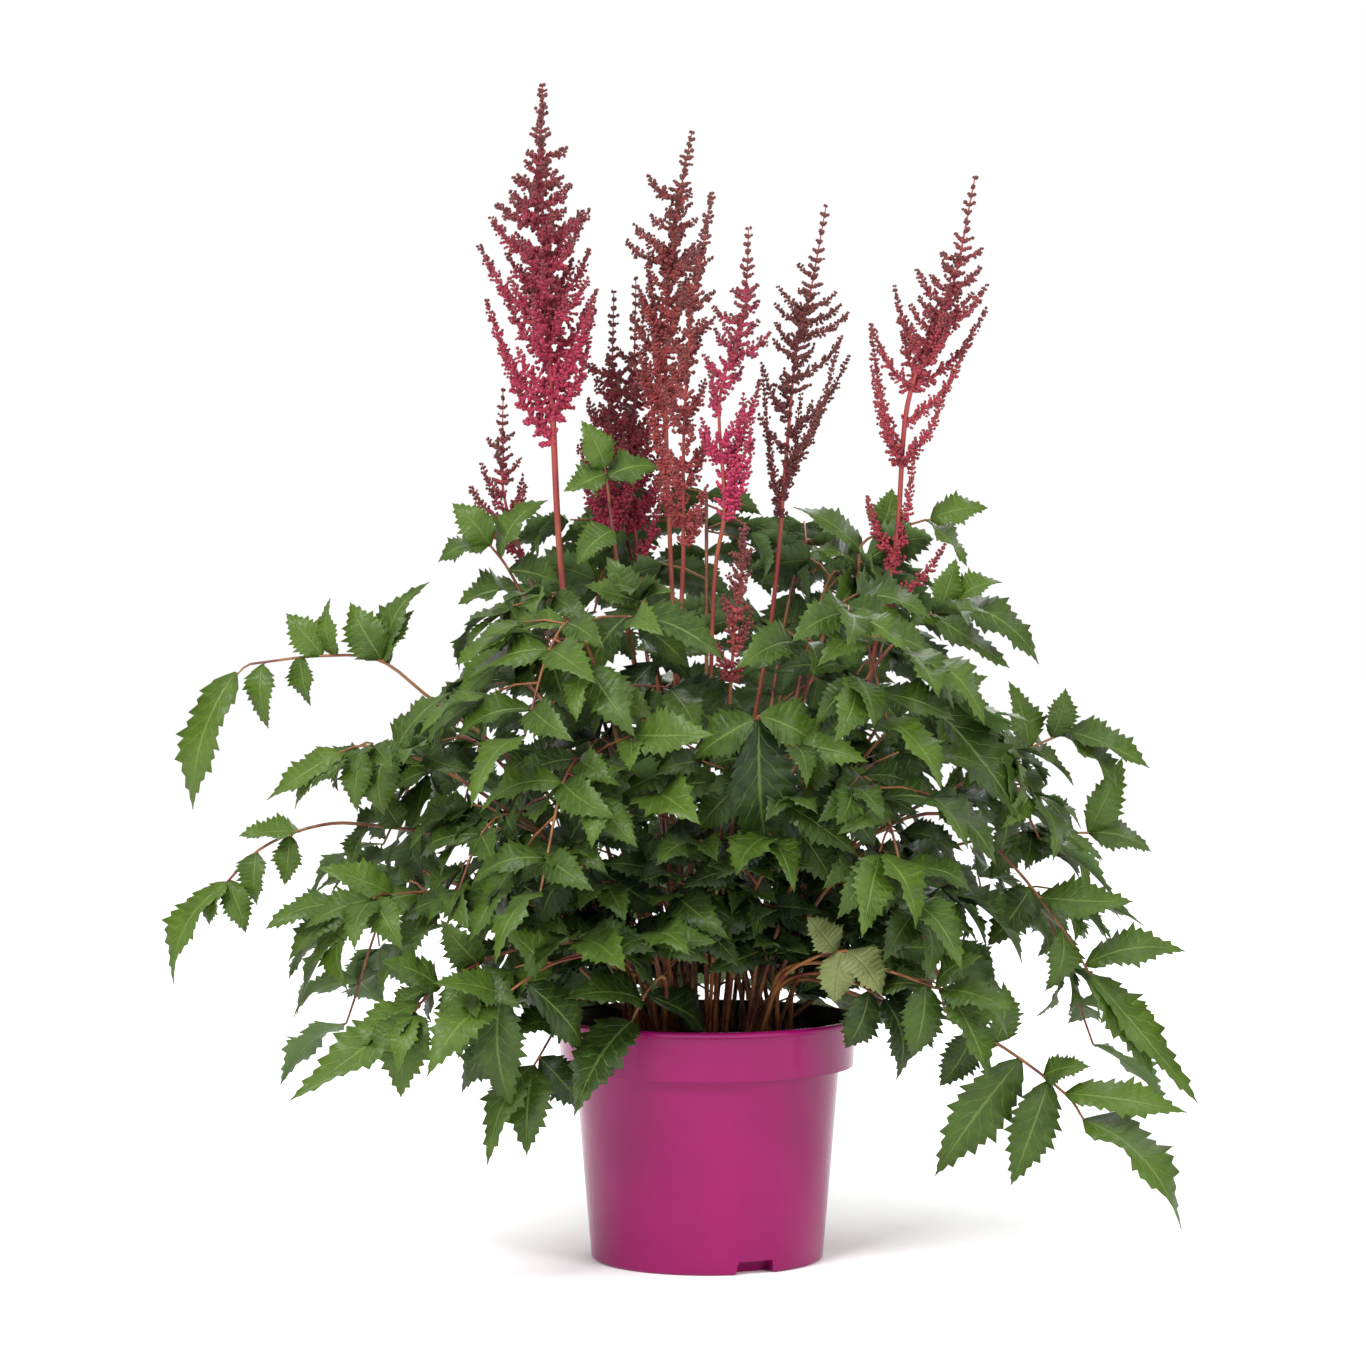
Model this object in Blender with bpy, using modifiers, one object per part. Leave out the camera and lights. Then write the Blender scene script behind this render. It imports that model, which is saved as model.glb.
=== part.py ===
"""Astilbe in a nursery pot: a tapered plastic pot, its compost, flower shoots and compound leaves.

Metres, +Z up. The origin is the centre of the pot's underside, on the floor. +X is the
right-hand side of the plant as photographed, and -Y is the side that faced the camera.
"""
import math

import bmesh
import bpy
from mathutils import Matrix, Vector
from mathutils.bvhtree import BVHTree

MM = 0.001

# Pot, in millimetres
POT_HEIGHT = 150.0
LIP_RADIUS = 95.0
COLLAR_RADIUS = 92.0
COLLAR_HEIGHT = 30.0
BODY_TOP_RADIUS = 82.0
BODY_FOOT_RADIUS = 72.0
POT_WALL = 1.8
LIP_THICKNESS = 3.0
FOOT_CHAMFER = 1.2
LIP_EDGE = 1.0
COLLAR_DRAFT = 1.0
SHOULDER_EDGE = 1.0
SHOULDER_STEP = 0.6
SHOULDER_DEPTH = 3.0
POT_SIDES = 48
NOTCH_WIDTH = 29.0
NOTCH_HEIGHT = 8.0
NOTCH_INNER_RADIUS = 60.0
NOTCH_COUNT = 3
FIRST_NOTCH_ANGLE = math.radians(-66.0)

# Compost, with the gaps that keep it clear of the pot, in millimetres
CLEARANCE = 0.3
SOIL_TOP = ((0.0, 138.0), (40.0, 137.0), (COLLAR_RADIUS - POT_WALL - CLEARANCE - 3.0, 133.0))
FOOT_ALLOWANCE = 0.3
COLLAR_GAP = 1.6
COLLAR_GAP_HEIGHT = 6.0
SHOULDER_GAP = 0.6
WALL_GAP = 1.2
NOTCH_GAP = 0.8
NOTCH_GAP_HEIGHT = 2.0

# The view that the picture points below were read in, and where the crown is in it. A leaf's
# depth grows with the distance from the crown, to this power.
PICTURE_SCALE = 0.62
PICTURE_CENTRE = (683.0, 565.0)
VIEW_DISTANCE = 2500.0
VIEW_X = -15.0
VIEW_Z = 430.0
CROWN_POINT = (700.0, 1040.0)
DEPTH_CURVE = 0.8

# Thicknesses of leaf parts, in millimetres
STALK_RADIUS = 1.5
STALK_TAPER = 0.45
LEAFLET_STALK_WIDTH = 1.8
SHORT_LEAFLET_STALK = 7.0
LEAFLET_ROOT = 2.6
LEAFLET_NUDGE = 0.3
UPRIGHT_FOOT = 8.0
LEAFLET_THICKNESS = 1.3
LEAFLET_ARCH = 0.08
LEAFLET_FOLD = 0.2
LEAFLET_WIDEST = 0.38
LEAFLET_STALK_RISE = 0.1
STALK_SAMPLES = 8
SHOOT_SAMPLES = 18

# How much a leaflet's upper face looks up, outwards and, on a leaf of the front, at the viewer
LOOK_UP = 0.6
LOOK_OUT = 0.35
LOOK_AT_VIEWER = 0.6

# A leaf that arches out: its foot (mm, and share of its reach), the shares of its reach and rise
# that it passes through, and its leaflets as shares of their length
ARCH_FOOT = 16.0
ARCH_FOOT_SHARE = 0.14
ARCH_PROFILE = ((0.3, 0.66), (0.62, 1.0), (0.82, 0.97))
ARCH_SAMPLES = 31
END_LEAFLET = (0.75, -0.62)
END_LEAFLET_LENGTH = 1.15
END_LEAFLET_WIDTH = 0.45
PAIR_STATIONS = ((28, 0.9), (23, 1.0), (18, 0.8))
PAIR_OUT = 0.35
PAIR_DOWN = 0.38
PAIR_WIDTH = 0.42

# A flower shoot: its foot (mm, and share of its depth), how fast its plume swells and tapers, and
# the rise, sag and thickness of a side branch
SHOOT_FOOT = 8.0
SHOOT_FOOT_SHARE = 0.2
SWELL_RATE = 2.2
PLUME_TAPER = 0.85
PLUME_CORE = 0.5
BRANCH_RISE = 0.7
BRANCH_DROP = 14.0
BRANCH_SAG = 0.12
BRANCH_FOOT_RADIUS = 1.6
BRANCH_SWELL = 0.42
BRANCH_TIP_RADIUS = 1.0

# Side branches of a plume swing to the front and back by this share of their spread, in turn
PLUME_ROUNDNESS = 0.8
GOLDEN_ANGLE = math.radians(137.5)

# A leaf that would run through another turns about the pot's axis in steps of this angle
TURN_STEP = math.radians(1.5)
TURN_TRIES = 60

# Leaves seen in the photograph. Each row: name, radius of its foot in the crown (mm), depth of
# its far end (mm, + is away from the viewer), picture points along the stalk, and leaflets as
# (base x, base y, tip x, tip y, width in mm).
SEEN_LEAVES = (
    ("leaf_left_upper_arching", 34, 20,
     ((600, 860), (509, 758), (431, 699), (379, 660), (319, 656), (250, 664)),
     ((236, 672, 192, 810, 34), (262, 664, 268, 729, 20), (300, 656, 310, 706, 18),
      (382, 660, 350, 602, 28), (388, 664, 429, 582, 22), (384, 662, 414, 610, 20),
      (322, 656, 286, 613, 22), (336, 656, 330, 598, 18))),
    ("leaf_left_middle", 40, -60,
     ((590, 880), (500, 806), (430, 764), (370, 746), (340, 752)),
     ((395, 752, 454, 691, 26), (386, 750, 384, 816, 28), (356, 748, 330, 778, 16),
      (346, 750, 294, 809, 24), (340, 752, 266, 800, 22), (366, 748, 357, 812, 20))),
    ("leaf_left_long", 46, -25,
     ((600, 910), (480, 846), (367, 825), (313, 827), (260, 849), (223, 886)),
     ((290, 836, 284, 886, 18), (256, 852, 256, 906, 20), (300, 832, 238, 836, 18),
      (228, 880, 245, 934, 18), (226, 882, 208, 926, 20), (223, 886, 172, 985, 26),
      (367, 825, 348, 874, 20), (400, 828, 372, 790, 20))),
    ("leaf_left_low", 52, -95,
     ((600, 940), (500, 896), (413, 893), (345, 905)),
     ((392, 895, 317, 868, 22), (345, 905, 264, 930, 22), (350, 906, 287, 962, 24),
      (372, 902, 312, 968, 22), (420, 894, 330, 950, 28), (440, 894, 404, 964, 24))),
    ("leaf_front_left", 54, -190,
     ((620, 950), (520, 950), (450, 980), (412, 1011)),
     ((412, 1011, 400, 1100, 30), (410, 1012, 288, 1102, 28), (420, 1004, 340, 1058, 22),
      (440, 988, 380, 962, 22), (456, 978, 458, 1060, 26), (480, 966, 440, 920, 22))),
    ("leaf_front_left_inner", 48, -195,
     ((640, 960), (560, 962), (492, 1004)),
     ((492, 1004, 426, 1078, 28), (500, 1000, 512, 1110, 30), (502, 996, 432, 984, 22),
      (526, 984, 582, 1050, 28), (540, 974, 500, 930, 24))),
    ("leaf_front_centre_left", 42, -170,
     ((645, 975), (590, 1000), (548, 1070)),
     ((548, 1070, 545, 1160, 28), (549, 1068, 508, 1170, 26), (554, 1060, 596, 1110, 24),
      (572, 1028, 524, 1040, 22))),
    ("leaf_over_rim", 50, -140,
     ((668, 980), (652, 990), (636, 1020)),
     ((636, 1022, 580, 1118, 32), (646, 1002, 570, 1000, 24), (650, 996, 704, 1034, 26),
      (656, 988, 616, 950, 24))),
    ("leaf_centre_broad", 22, -150,
     ((712, 900), (722, 800), (738, 716)),
     ((739, 719, 756, 853, 38), (736, 720, 676, 760, 28), (739, 716, 806, 752, 28),
      (724, 786, 684, 830, 26))),
    ("leaf_centre_right", 26, -135,
     ((740, 930), (775, 850), (806, 788)),
     ((808, 788, 876, 848, 38), (804, 790, 770, 862, 30), (806, 786, 838, 740, 26),
      (790, 820, 836, 890, 26))),
    ("leaf_centre_left", 30, -125,
     ((660, 930), (606, 880), (561, 852)),
     ((563, 852, 652, 734, 36), (570, 856, 668, 782, 28), (590, 866, 666, 914, 28),
      (564, 854, 496, 872, 26), (576, 860, 538, 934, 26))),
    ("leaf_upper_centre", 14, -60,
     ((690, 850), (668, 720), (650, 640), (637, 609)),
     ((637, 609, 586, 697, 30), (641, 614, 692, 682, 28), (638, 609, 606, 556, 22),
      (656, 662, 618, 742, 26))),
    ("leaf_right_top", 24, 30,
     ((735, 900), (800, 760), (850, 650), (858, 574), (866, 540), (925, 520)),
     ((862, 552, 793, 507, 24), (930, 520, 988, 508, 22), (926, 520, 967, 566, 26),
      (880, 534, 892, 488, 22), (858, 566, 812, 552, 24))),
    ("leaf_right_upper", 30, -20,
     ((742, 900), (820, 760), (880, 660), (926, 616), (959, 603)),
     ((959, 603, 1039, 664, 28), (930, 614, 1010, 668, 26), (940, 610, 956, 558, 20),
      (906, 634, 938, 704, 24), (955, 604, 1002, 582, 20))),
    ("leaf_left_top", 28, 15,
     ((660, 900), (600, 760), (545, 640), (510, 572), (490, 545)),
     ((490, 545, 438, 562, 24), (491, 546, 452, 503, 22), (500, 558, 548, 500, 24),
      (508, 570, 562, 584, 24), (518, 588, 458, 604, 26))),
    ("leaf_top_inner", 12, -30,
     ((670, 850), (630, 700), (600, 560), (586, 470)),
     ((586, 470, 560, 422, 20), (588, 478, 642, 468, 24), (587, 474, 543, 492, 22),
      (596, 530, 558, 566, 24))),
    ("leaf_right_broad", 32, -70,
     ((745, 920), (830, 800), (890, 730), (930, 704)),
     ((930, 704, 1027, 829, 36), (920, 710, 900, 784, 26), (930, 704, 988, 676, 24),
      (900, 724, 856, 694, 22))),
    ("leaf_right_middle", 38, 45,
     ((755, 930), (880, 830), (960, 785), (1004, 760), (1069, 731)),
     ((1069, 731, 1150, 768, 28), (1062, 734, 1119, 795, 26), (1030, 748, 1009, 681, 24),
      (1052, 738, 1066, 688, 20), (1000, 762, 1040, 816, 24))),
    ("leaf_right_arching", 44, -40,
     ((780, 930), (874, 834), (953, 815), (1009, 861), (1060, 925), (1092, 977)),
     ((1092, 977, 1154, 1077, 30), (1086, 966, 1187, 952, 26), (1090, 974, 1200, 1105, 24),
      (1040, 898, 1134, 902, 26), (1032, 888, 988, 947, 26), (1000, 852, 1000, 793, 22),
      (1062, 928, 1046, 992, 22))),
    ("leaf_right_back", 40, 70,
     ((770, 930), (880, 870), (1000, 836), (1089, 833)),
     ((1089, 833, 1123, 757, 22), (1070, 833, 1037, 795, 20), (1089, 833, 1152, 852, 24),
      (1060, 833, 1086, 894, 22), (1020, 835, 990, 880, 22))),
    ("leaf_right_low", 56, -130,
     ((800, 980), (870, 1000), (930, 1012), (1000, 1046), (1065, 1094), (1085, 1121)),
     ((1022, 1060, 936, 1178, 32), (1050, 1082, 1012, 1188, 28), (1066, 1095, 1189, 1114, 26),
      (1085, 1121, 1184, 1232, 44), (1044, 1078, 1092, 1068, 20), (996, 1044, 1004, 982, 22),
      (975, 1034, 940, 1088, 22))),
    ("leaf_right_dark", 50, -160,
     ((785, 970), (870, 968), (949, 993)),
     ((949, 993, 990, 1083, 28), (940, 990, 1014, 1012, 24), (926, 984, 912, 1060, 24),
      (936, 988, 984, 956, 20))),
    ("leaf_right_of_pot", 58, -120,
     ((780, 985), (830, 975), (880, 1000)),
     ((880, 1000, 893, 1082, 26), (866, 992, 842, 1050, 22), (872, 996, 930, 990, 22))),
    ("leaf_yellowed", 54, -108,
     ((790, 980), (830, 956), (861, 950)),
     ((861, 950, 897, 996, 28), (856, 951, 846, 1004, 22), (850, 952, 820, 916, 22))),
)

# Leaves of the sides and back, which the photograph only hints at: name, azimuth in degrees,
# reach, height of the arch's top and height of its end (mm), and the length of a leaflet (mm).
HIDDEN_LEAVES = (
    ("leaf_back_low_right", 22, 270, 215, 120, 62),
    ("leaf_back_low_right_inner", 52, 262, 225, 130, 60),
    ("leaf_back_low_centre", 84, 280, 230, 125, 64),
    ("leaf_back_low_left_inner", 118, 262, 215, 120, 60),
    ("leaf_back_low_left", 150, 272, 225, 130, 62),
    ("leaf_back_middle_right", 36, 215, 340, 270, 58),
    ("leaf_back_middle_centre_right", 70, 225, 355, 280, 60),
    ("leaf_back_middle_centre_left", 104, 220, 345, 275, 58),
    ("leaf_back_middle_left", 138, 215, 350, 270, 60),
    ("leaf_back_upper_right", 55, 150, 440, 395, 54),
    ("leaf_back_upper_left", 122, 150, 450, 400, 54),
    ("leaf_front_upper_right", -52, 170, 400, 340, 56),
    ("leaf_front_upper_left", -128, 175, 390, 330, 56),
    ("leaf_front_middle_right", -64, 190, 300, 235, 54),
    ("leaf_front_middle_left", -116, 185, 310, 240, 54),
    ("leaf_side_right_middle", -14, 205, 325, 262, 56),
    ("leaf_side_left_middle", 172, 205, 318, 255, 56),
    ("leaf_core_right", 12, 125, 420, 375, 52),
    ("leaf_core_left", -165, 130, 405, 360, 52),
    ("leaf_core_back", 90, 115, 470, 430, 50),
    ("leaf_core_front_left", -152, 185, 275, 215, 52),
    ("leaf_core_front_right", -38, 165, 255, 205, 52),
)

# Flower shoots: name, colour, depth (mm), stalk radius (mm), plume radius (mm), height in the
# picture where the florets start, picture points from the crown to the tip, and the picture
# points of the tips of the side branches.
SHOOTS = (
    ("plume_crimson_tall", "crimson", -12, 3.0, 9.0, 400,
     ((640, 900), (581, 703), (561, 567), (552, 395), (545, 270), (541, 150), (543, 88)),
     ((480, 247), (497, 204), (494, 223), (511, 192), (515, 180), (571, 187), (581, 210),
      (590, 214), (589, 250), (486, 300), (594, 300), (500, 340), (590, 345))),
    ("plume_salmon_tall", "salmon", 30, 2.2, 7.0, 415,
     ((684, 900), (676, 658), (667, 418), (670, 290), (681, 198), (693, 135)),
     ((636, 226), (629, 241), (640, 290), (700, 250), (640, 350), (650, 180), (700, 320))),
    ("plume_salmon_slim", "salmon", -5, 2.2, 6.0, 560,
     ((690, 900), (674, 720), (680, 567), (681, 430), (690, 300), (702, 240), (710, 195)),
     ((712, 318), (706, 380), (660, 400), (708, 440), (656, 470), (700, 510))),
    ("plume_pink", "pink", -35, 2.0, 6.5, 480,
     ((705, 900), (712, 597), (723, 509), (718, 400), (740, 330), (745, 280), (747, 230)),
     ((712, 308), (714, 330), (767, 335), (760, 380), (750, 430), (700, 420), (734, 480))),
    ("plume_maroon", "maroon", 12, 2.2, 5.5, 500,
     ((720, 900), (768, 640), (784, 475), (795, 357), (810, 291), (825, 208)),
     ((778, 288), (775, 304), (776, 325), (798, 265), (761, 364), (834, 295), (840, 304),
      (847, 316), (841, 338), (848, 356), (820, 400))),
    ("plume_red_right", "red", 22, 2.4, 7.0, 400,
     ((742, 900), (840, 780), (871, 647), (892, 540), (904, 400), (945, 298), (969, 183)),
     ((912, 273), (887, 287), (925, 308), (862, 324), (974, 272), (981, 290), (979, 310),
      (870, 370), (960, 350), (940, 390), (911, 440), (861, 497))),
    ("plume_small_left", "crimson", 35, 1.8, 5.0, 530,
     ((665, 900), (580, 700), (512, 521), (505, 452), (505, 391)),
     ((472, 488), (488, 478), (526, 487), (490, 440))),
    ("plume_centre_back_left", "crimson", 55, 2.0, 7.0, 540,
     ((675, 900), (640, 700), (612, 520), (612, 400), (614, 293)),
     ((580, 360), (588, 400), (640, 380), (582, 440), (640, 450), (590, 490))),
    ("plume_centre_back_right", "crimson", 78, 2.0, 7.0, 540,
     ((682, 900), (660, 700), (634, 520), (634, 400), (636, 280)),
     ((618, 350), (660, 380), (654, 420), (612, 430), (664, 460), (660, 500))),
    ("plume_salmon_low", "salmon", -85, 1.8, 8.0, 690,
     ((716, 900), (726, 760), (735, 624), (743, 555), (744, 525)),
     ((722, 600), (752, 610), (716, 640), (748, 650))),
)

COLOURS = {
    "pot": ("B02C70", 0.35),
    "compost": ("2B1D14", 0.95),
    "leaf": ("3F6B35", 0.5),
    "yellow_leaf": ("9AA06A", 0.55),
    "crimson": ("A3243F", 0.75),
    "salmon": ("A8443C", 0.75),
    "pink": ("C2476B", 0.75),
    "maroon": ("4F2326", 0.7),
    "red": ("A8202E", 0.75),
}


def clear_scene():
    """Remove every object that the file opened with."""
    for thing in list(bpy.data.objects):
        bpy.data.objects.remove(thing, do_unlink=True)


def material(name):
    """A Principled material in one of the plant's or the pot's colours."""
    if name in bpy.data.materials:
        return bpy.data.materials[name]
    code, roughness = COLOURS[name]
    made = bpy.data.materials.new(name)
    made.use_nodes = True
    shader = made.node_tree.nodes["Principled BSDF"]
    channels = [int(code[i:i + 2], 16) / 255.0 for i in (0, 2, 4)]
    linear = [((c + 0.055) / 1.055) ** 2.4 for c in channels]
    shader.inputs["Base Color"].default_value = (*linear, 1.0)
    shader.inputs["Roughness"].default_value = roughness
    shader.inputs["Metallic"].default_value = 0.0
    return made


def new_object(name, mesh, colour, collection):
    """Put a mesh in the scene as a named sub-part with its material."""
    made = bpy.data.objects.new(name, mesh)
    mesh.materials.clear()
    mesh.materials.append(material(colour))
    collection.objects.link(made)
    return made


def baked(thing, weld=0.00001):
    """The mesh that an object shows once its modifiers or bevel have run, with welded seams."""
    bpy.context.view_layer.update()
    graph = bpy.context.evaluated_depsgraph_get()
    mesh = bpy.data.meshes.new_from_object(thing.evaluated_get(graph))
    work = bmesh.new()
    work.from_mesh(mesh)
    bmesh.ops.remove_doubles(work, verts=work.verts, dist=weld)
    work.to_mesh(mesh)
    work.free()
    return mesh


def picture_point(x, y, depth):
    """The place, in metres, of a picture point that lies this deep (mm) behind the pot's axis."""
    spread = PICTURE_SCALE * (VIEW_DISTANCE + depth) / VIEW_DISTANCE
    across = VIEW_X + (x - PICTURE_CENTRE[0]) * spread
    height = VIEW_Z - (y - PICTURE_CENTRE[1]) * spread
    return Vector((across, depth, height)) * MM


def smooth_path(points, count):
    """Points spaced along a Catmull-Rom curve through the given points."""
    ends = [points[0] * 2 - points[1]] + list(points) + [points[-1] * 2 - points[-2]]
    path = []
    spans = len(points) - 1
    for step in range(count):
        place = step * spans / (count - 1)
        span = min(int(place), spans - 1)
        t = place - span
        a, b, c, d = ends[span:span + 4]
        path.append(0.5 * (2 * b + (c - a) * t + (2 * a - 5 * b + 4 * c - d) * t * t
                           + (3 * b - a - 3 * c + d) * t ** 3))
    return path


def tube_mesh(paths, resolution=0):
    """Closed tubes along paths of (point, radius in mm)."""
    curve = bpy.data.curves.new("tubes", "CURVE")
    curve.dimensions = "3D"
    curve.bevel_depth = MM
    curve.bevel_resolution = resolution
    curve.use_fill_caps = True
    for path in paths:
        spline = curve.splines.new("POLY")
        spline.points.add(len(path) - 1)
        for target, (place, radius) in zip(spline.points, path):
            target.co = (*place, 1.0)
            target.radius = radius
    thing = bpy.data.objects.new("tubes", curve)
    bpy.context.scene.collection.objects.link(thing)
    mesh = baked(thing)
    bpy.data.objects.remove(thing, do_unlink=True)
    bpy.data.curves.remove(curve)
    return mesh


def joined(base, extra):
    """One closed body from a tube and the tubes and plates that grow out of it."""
    body = bpy.data.objects.new("body", base)
    added = bpy.data.objects.new("added", extra)
    for thing in (body, added):
        bpy.context.scene.collection.objects.link(thing)
    union = body.modifiers.new("grow together", "BOOLEAN")
    union.operation = "UNION"
    union.solver = "EXACT"
    union.use_self = True
    union.object = added
    mesh = baked(body, weld=0.000001)
    for thing in (body, added):
        bpy.data.objects.remove(thing, do_unlink=True)
    return mesh


def leaflet_frame(base, tip, facing):
    """Unit vectors along and across a leaflet, and out of its upper face."""
    along = (tip - base).normalized()
    across = along.cross(facing).normalized()
    return along, across, across.cross(along)


def add_leaflet(work, start, base, tip, width, facing):
    """A thin pointed plate, folded up at its midrib, that grows from a start inside the stalk."""
    along, across, out = leaflet_frame(base, tip, facing)
    half = width * MM / 2
    widest = base.lerp(tip, LEAFLET_WIDEST) + out * (LEAFLET_ARCH * (tip - base).length)
    rise = out * (LEAFLET_FOLD * half)
    middle = [start, widest, tip]
    left = [widest - across * half + rise]
    right = [widest + across * half + rise]
    if (start - base).length > SHORT_LEAFLET_STALK * MM:
        narrow = across * (LEAFLET_STALK_WIDTH * MM / 2)
        middle.insert(1, base)
        left.insert(0, base - narrow + rise * LEAFLET_STALK_RISE)
        right.insert(0, base + narrow + rise * LEAFLET_STALK_RISE)
    centre = [work.verts.new(place) for place in middle]
    faces = []
    for side, is_right in ((left, False), (right, True)):
        rim = [centre[0]] + [work.verts.new(place) for place in side] + [centre[-1]]
        for i in range(len(centre) - 1):
            corners = list(dict.fromkeys([centre[i], centre[i + 1], rim[i + 1], rim[i]]))
            faces.append(work.faces.new(corners if is_right else corners[::-1]))
    grown = bmesh.ops.extrude_face_region(work, geom=faces)
    lowered = [item for item in grown["geom"] if isinstance(item, bmesh.types.BMVert)]
    bmesh.ops.translate(work, verts=lowered, vec=out * (-LEAFLET_THICKNESS * MM))


def stalk_path(nodes, count):
    """A stalk's run: upright out of the compost, then a smooth curve through its nodes."""
    foot = nodes[0]
    risen = foot + Vector((0, 0, UPRIGHT_FOOT * MM))
    return [foot] + smooth_path([risen] + list(nodes[1:]), count)


def nearest_on(path, place):
    """Where a leaflet roots: just short of the point of the stalk that is nearest to a place."""
    found = []
    for a, b in zip(path[2:], path[3:]):
        share = max(0.0, min(1.0, (place - a).dot(b - a) / (b - a).length_squared))
        found.append((a.lerp(b, share), (a - b).normalized()))
    spot, back = min(found, key=lambda item: (item[0] - place).length)
    return spot + back * (LEAFLET_ROOT * MM)


def leaf_mesh(stalk, leaflets, facing_of):
    """A compound leaf: its stalk and the leaflets that grow from it."""
    path = stalk_path(stalk, STALK_SAMPLES)
    last = len(path) - 1
    main = [(place, STALK_RADIUS * (1 - STALK_TAPER * i / last)) for i, place in enumerate(path)]
    work = bmesh.new()
    for base, tip, width in leaflets:
        start = nearest_on(path, base)
        start = start + (tip - start).normalized() * (LEAFLET_NUDGE * MM)
        add_leaflet(work, start, base, tip, width, facing_of(base, tip))
    bmesh.ops.recalc_face_normals(work, faces=work.faces)
    plates = bpy.data.meshes.new("leaflets")
    work.to_mesh(plates)
    work.free()
    return joined(tube_mesh([main]), plates)


def soil_height(radius):
    """Height of the compost's surface at a distance from the axis, in millimetres."""
    for (r0, z0), (r1, z1) in zip(SOIL_TOP, SOIL_TOP[1:]):
        if radius <= r1:
            return z0 + (z1 - z0) * (radius - r0) / (r1 - r0)
    return SOIL_TOP[-1][1]


def crown_foot(radius, azimuth):
    """Where a stalk leaves the compost."""
    level = soil_height(radius) + CLEARANCE + FOOT_ALLOWANCE
    return Vector((radius * math.cos(azimuth), radius * math.sin(azimuth), level)) * MM


def seen_leaf(radius, far_depth, points, rows):
    """Stalk and leaflets, in metres, of a leaf laid out by its picture points."""
    everything = list(points) + [row[2:4] for row in rows]
    farthest = max(math.dist(CROWN_POINT, point) for point in everything)

    def placed(x, y):
        share = (math.dist(CROWN_POINT, (x, y)) / farthest) ** DEPTH_CURVE
        return picture_point(x, y, far_depth * share)

    end = placed(*points[-1])
    azimuth = math.atan2(end.y, end.x)
    stalk = [crown_foot(radius, azimuth)] + [placed(*point) for point in points]
    leaflets = [(placed(*row[:2]), placed(*row[2:4]), row[4]) for row in rows]
    return stalk, leaflets


def hidden_leaf(azimuth, reach, top, end, size):
    """Stalk and leaflets, in metres, of a leaf that arches out at an azimuth."""
    angle = math.radians(azimuth)
    out = Vector((math.cos(angle), math.sin(angle), 0))
    side = Vector((-out.y, out.x, 0))
    lift = Vector((0, 0, 1))
    foot_radius = ARCH_FOOT + reach * ARCH_FOOT_SHARE
    ground = soil_height(foot_radius)
    stalk = [crown_foot(foot_radius, angle)]
    for share, height in (*ARCH_PROFILE, (1.0, (end - ground) / (top - ground))):
        across = out * (foot_radius + (reach - foot_radius) * share)
        stalk.append((across + lift * (ground + (top - ground) * height)) * MM)
    path = smooth_path(stalk, ARCH_SAMPLES)
    droop = out * END_LEAFLET[0] + lift * END_LEAFLET[1]
    end_tip = path[-1] + droop * size * END_LEAFLET_LENGTH * MM
    leaflets = [(path[-1], end_tip, size * END_LEAFLET_WIDTH)]
    for station, spread in PAIR_STATIONS:
        for hand in (-1, 1):
            reachwards = out * PAIR_OUT + side * hand - lift * PAIR_DOWN
            tip = path[station] + reachwards.normalized() * size * spread * MM
            leaflets.append((path[station], tip, size * PAIR_WIDTH * spread))
    return stalk, leaflets


def leaf_facing(towards_viewer):
    """A rule for which way a leaflet's upper face looks."""
    def facing(base, tip):
        middle = (base + tip) / 2
        outward = Vector((middle.x, middle.y, 0))
        if outward.length > 0:
            outward.normalize()
        look = Vector((0, -towards_viewer, 0))
        return (Vector((0, 0, LOOK_UP)) + outward * LOOK_OUT + look).normalized()
    return facing


def shoot_mesh(depth, stalk_radius, plume_radius, florets_from, points, tips):
    """A flower shoot: a stalk that swells into its plume, with side branches."""
    first = picture_point(*points[0], depth)
    azimuth = math.atan2(depth, first.x / MM)
    foot = crown_foot(SHOOT_FOOT + abs(depth) * SHOOT_FOOT_SHARE, azimuth)
    nodes = [foot] + [picture_point(x, y, depth) for x, y in points]
    path = stalk_path(nodes, SHOOT_SAMPLES)
    start = picture_point(0, florets_from, depth).z
    top = path[-1].z
    main = []
    for place in path:
        share = max(0.0, (place.z - start) / (top - start))
        swell = math.sin(math.pi * min(1.0, share * SWELL_RATE) / 2)
        taper = 1 - PLUME_TAPER * share
        main.append((place, stalk_radius * taper + plume_radius * PLUME_CORE * swell * taper))
    branches = []
    for index, (x, y) in enumerate(tips):
        tip = picture_point(x, y, depth)
        spread = abs(tip.x - min(path, key=lambda p: abs(p.z - tip.z)).x)
        tip.y += PLUME_ROUNDNESS * spread * math.sin(GOLDEN_ANGLE * index)
        drop = BRANCH_RISE * spread + BRANCH_DROP * MM
        root = min(path[3:], key=lambda place: abs(place.z - (tip.z - drop)))
        middle = root.lerp(tip, 0.5) - Vector((0, 0, BRANCH_SAG * drop))
        branches.append([(root, BRANCH_FOOT_RADIUS), (middle, plume_radius * BRANCH_SWELL),
                         (tip, BRANCH_TIP_RADIUS)])
    return joined(tube_mesh([main]), tube_mesh(branches))


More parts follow.
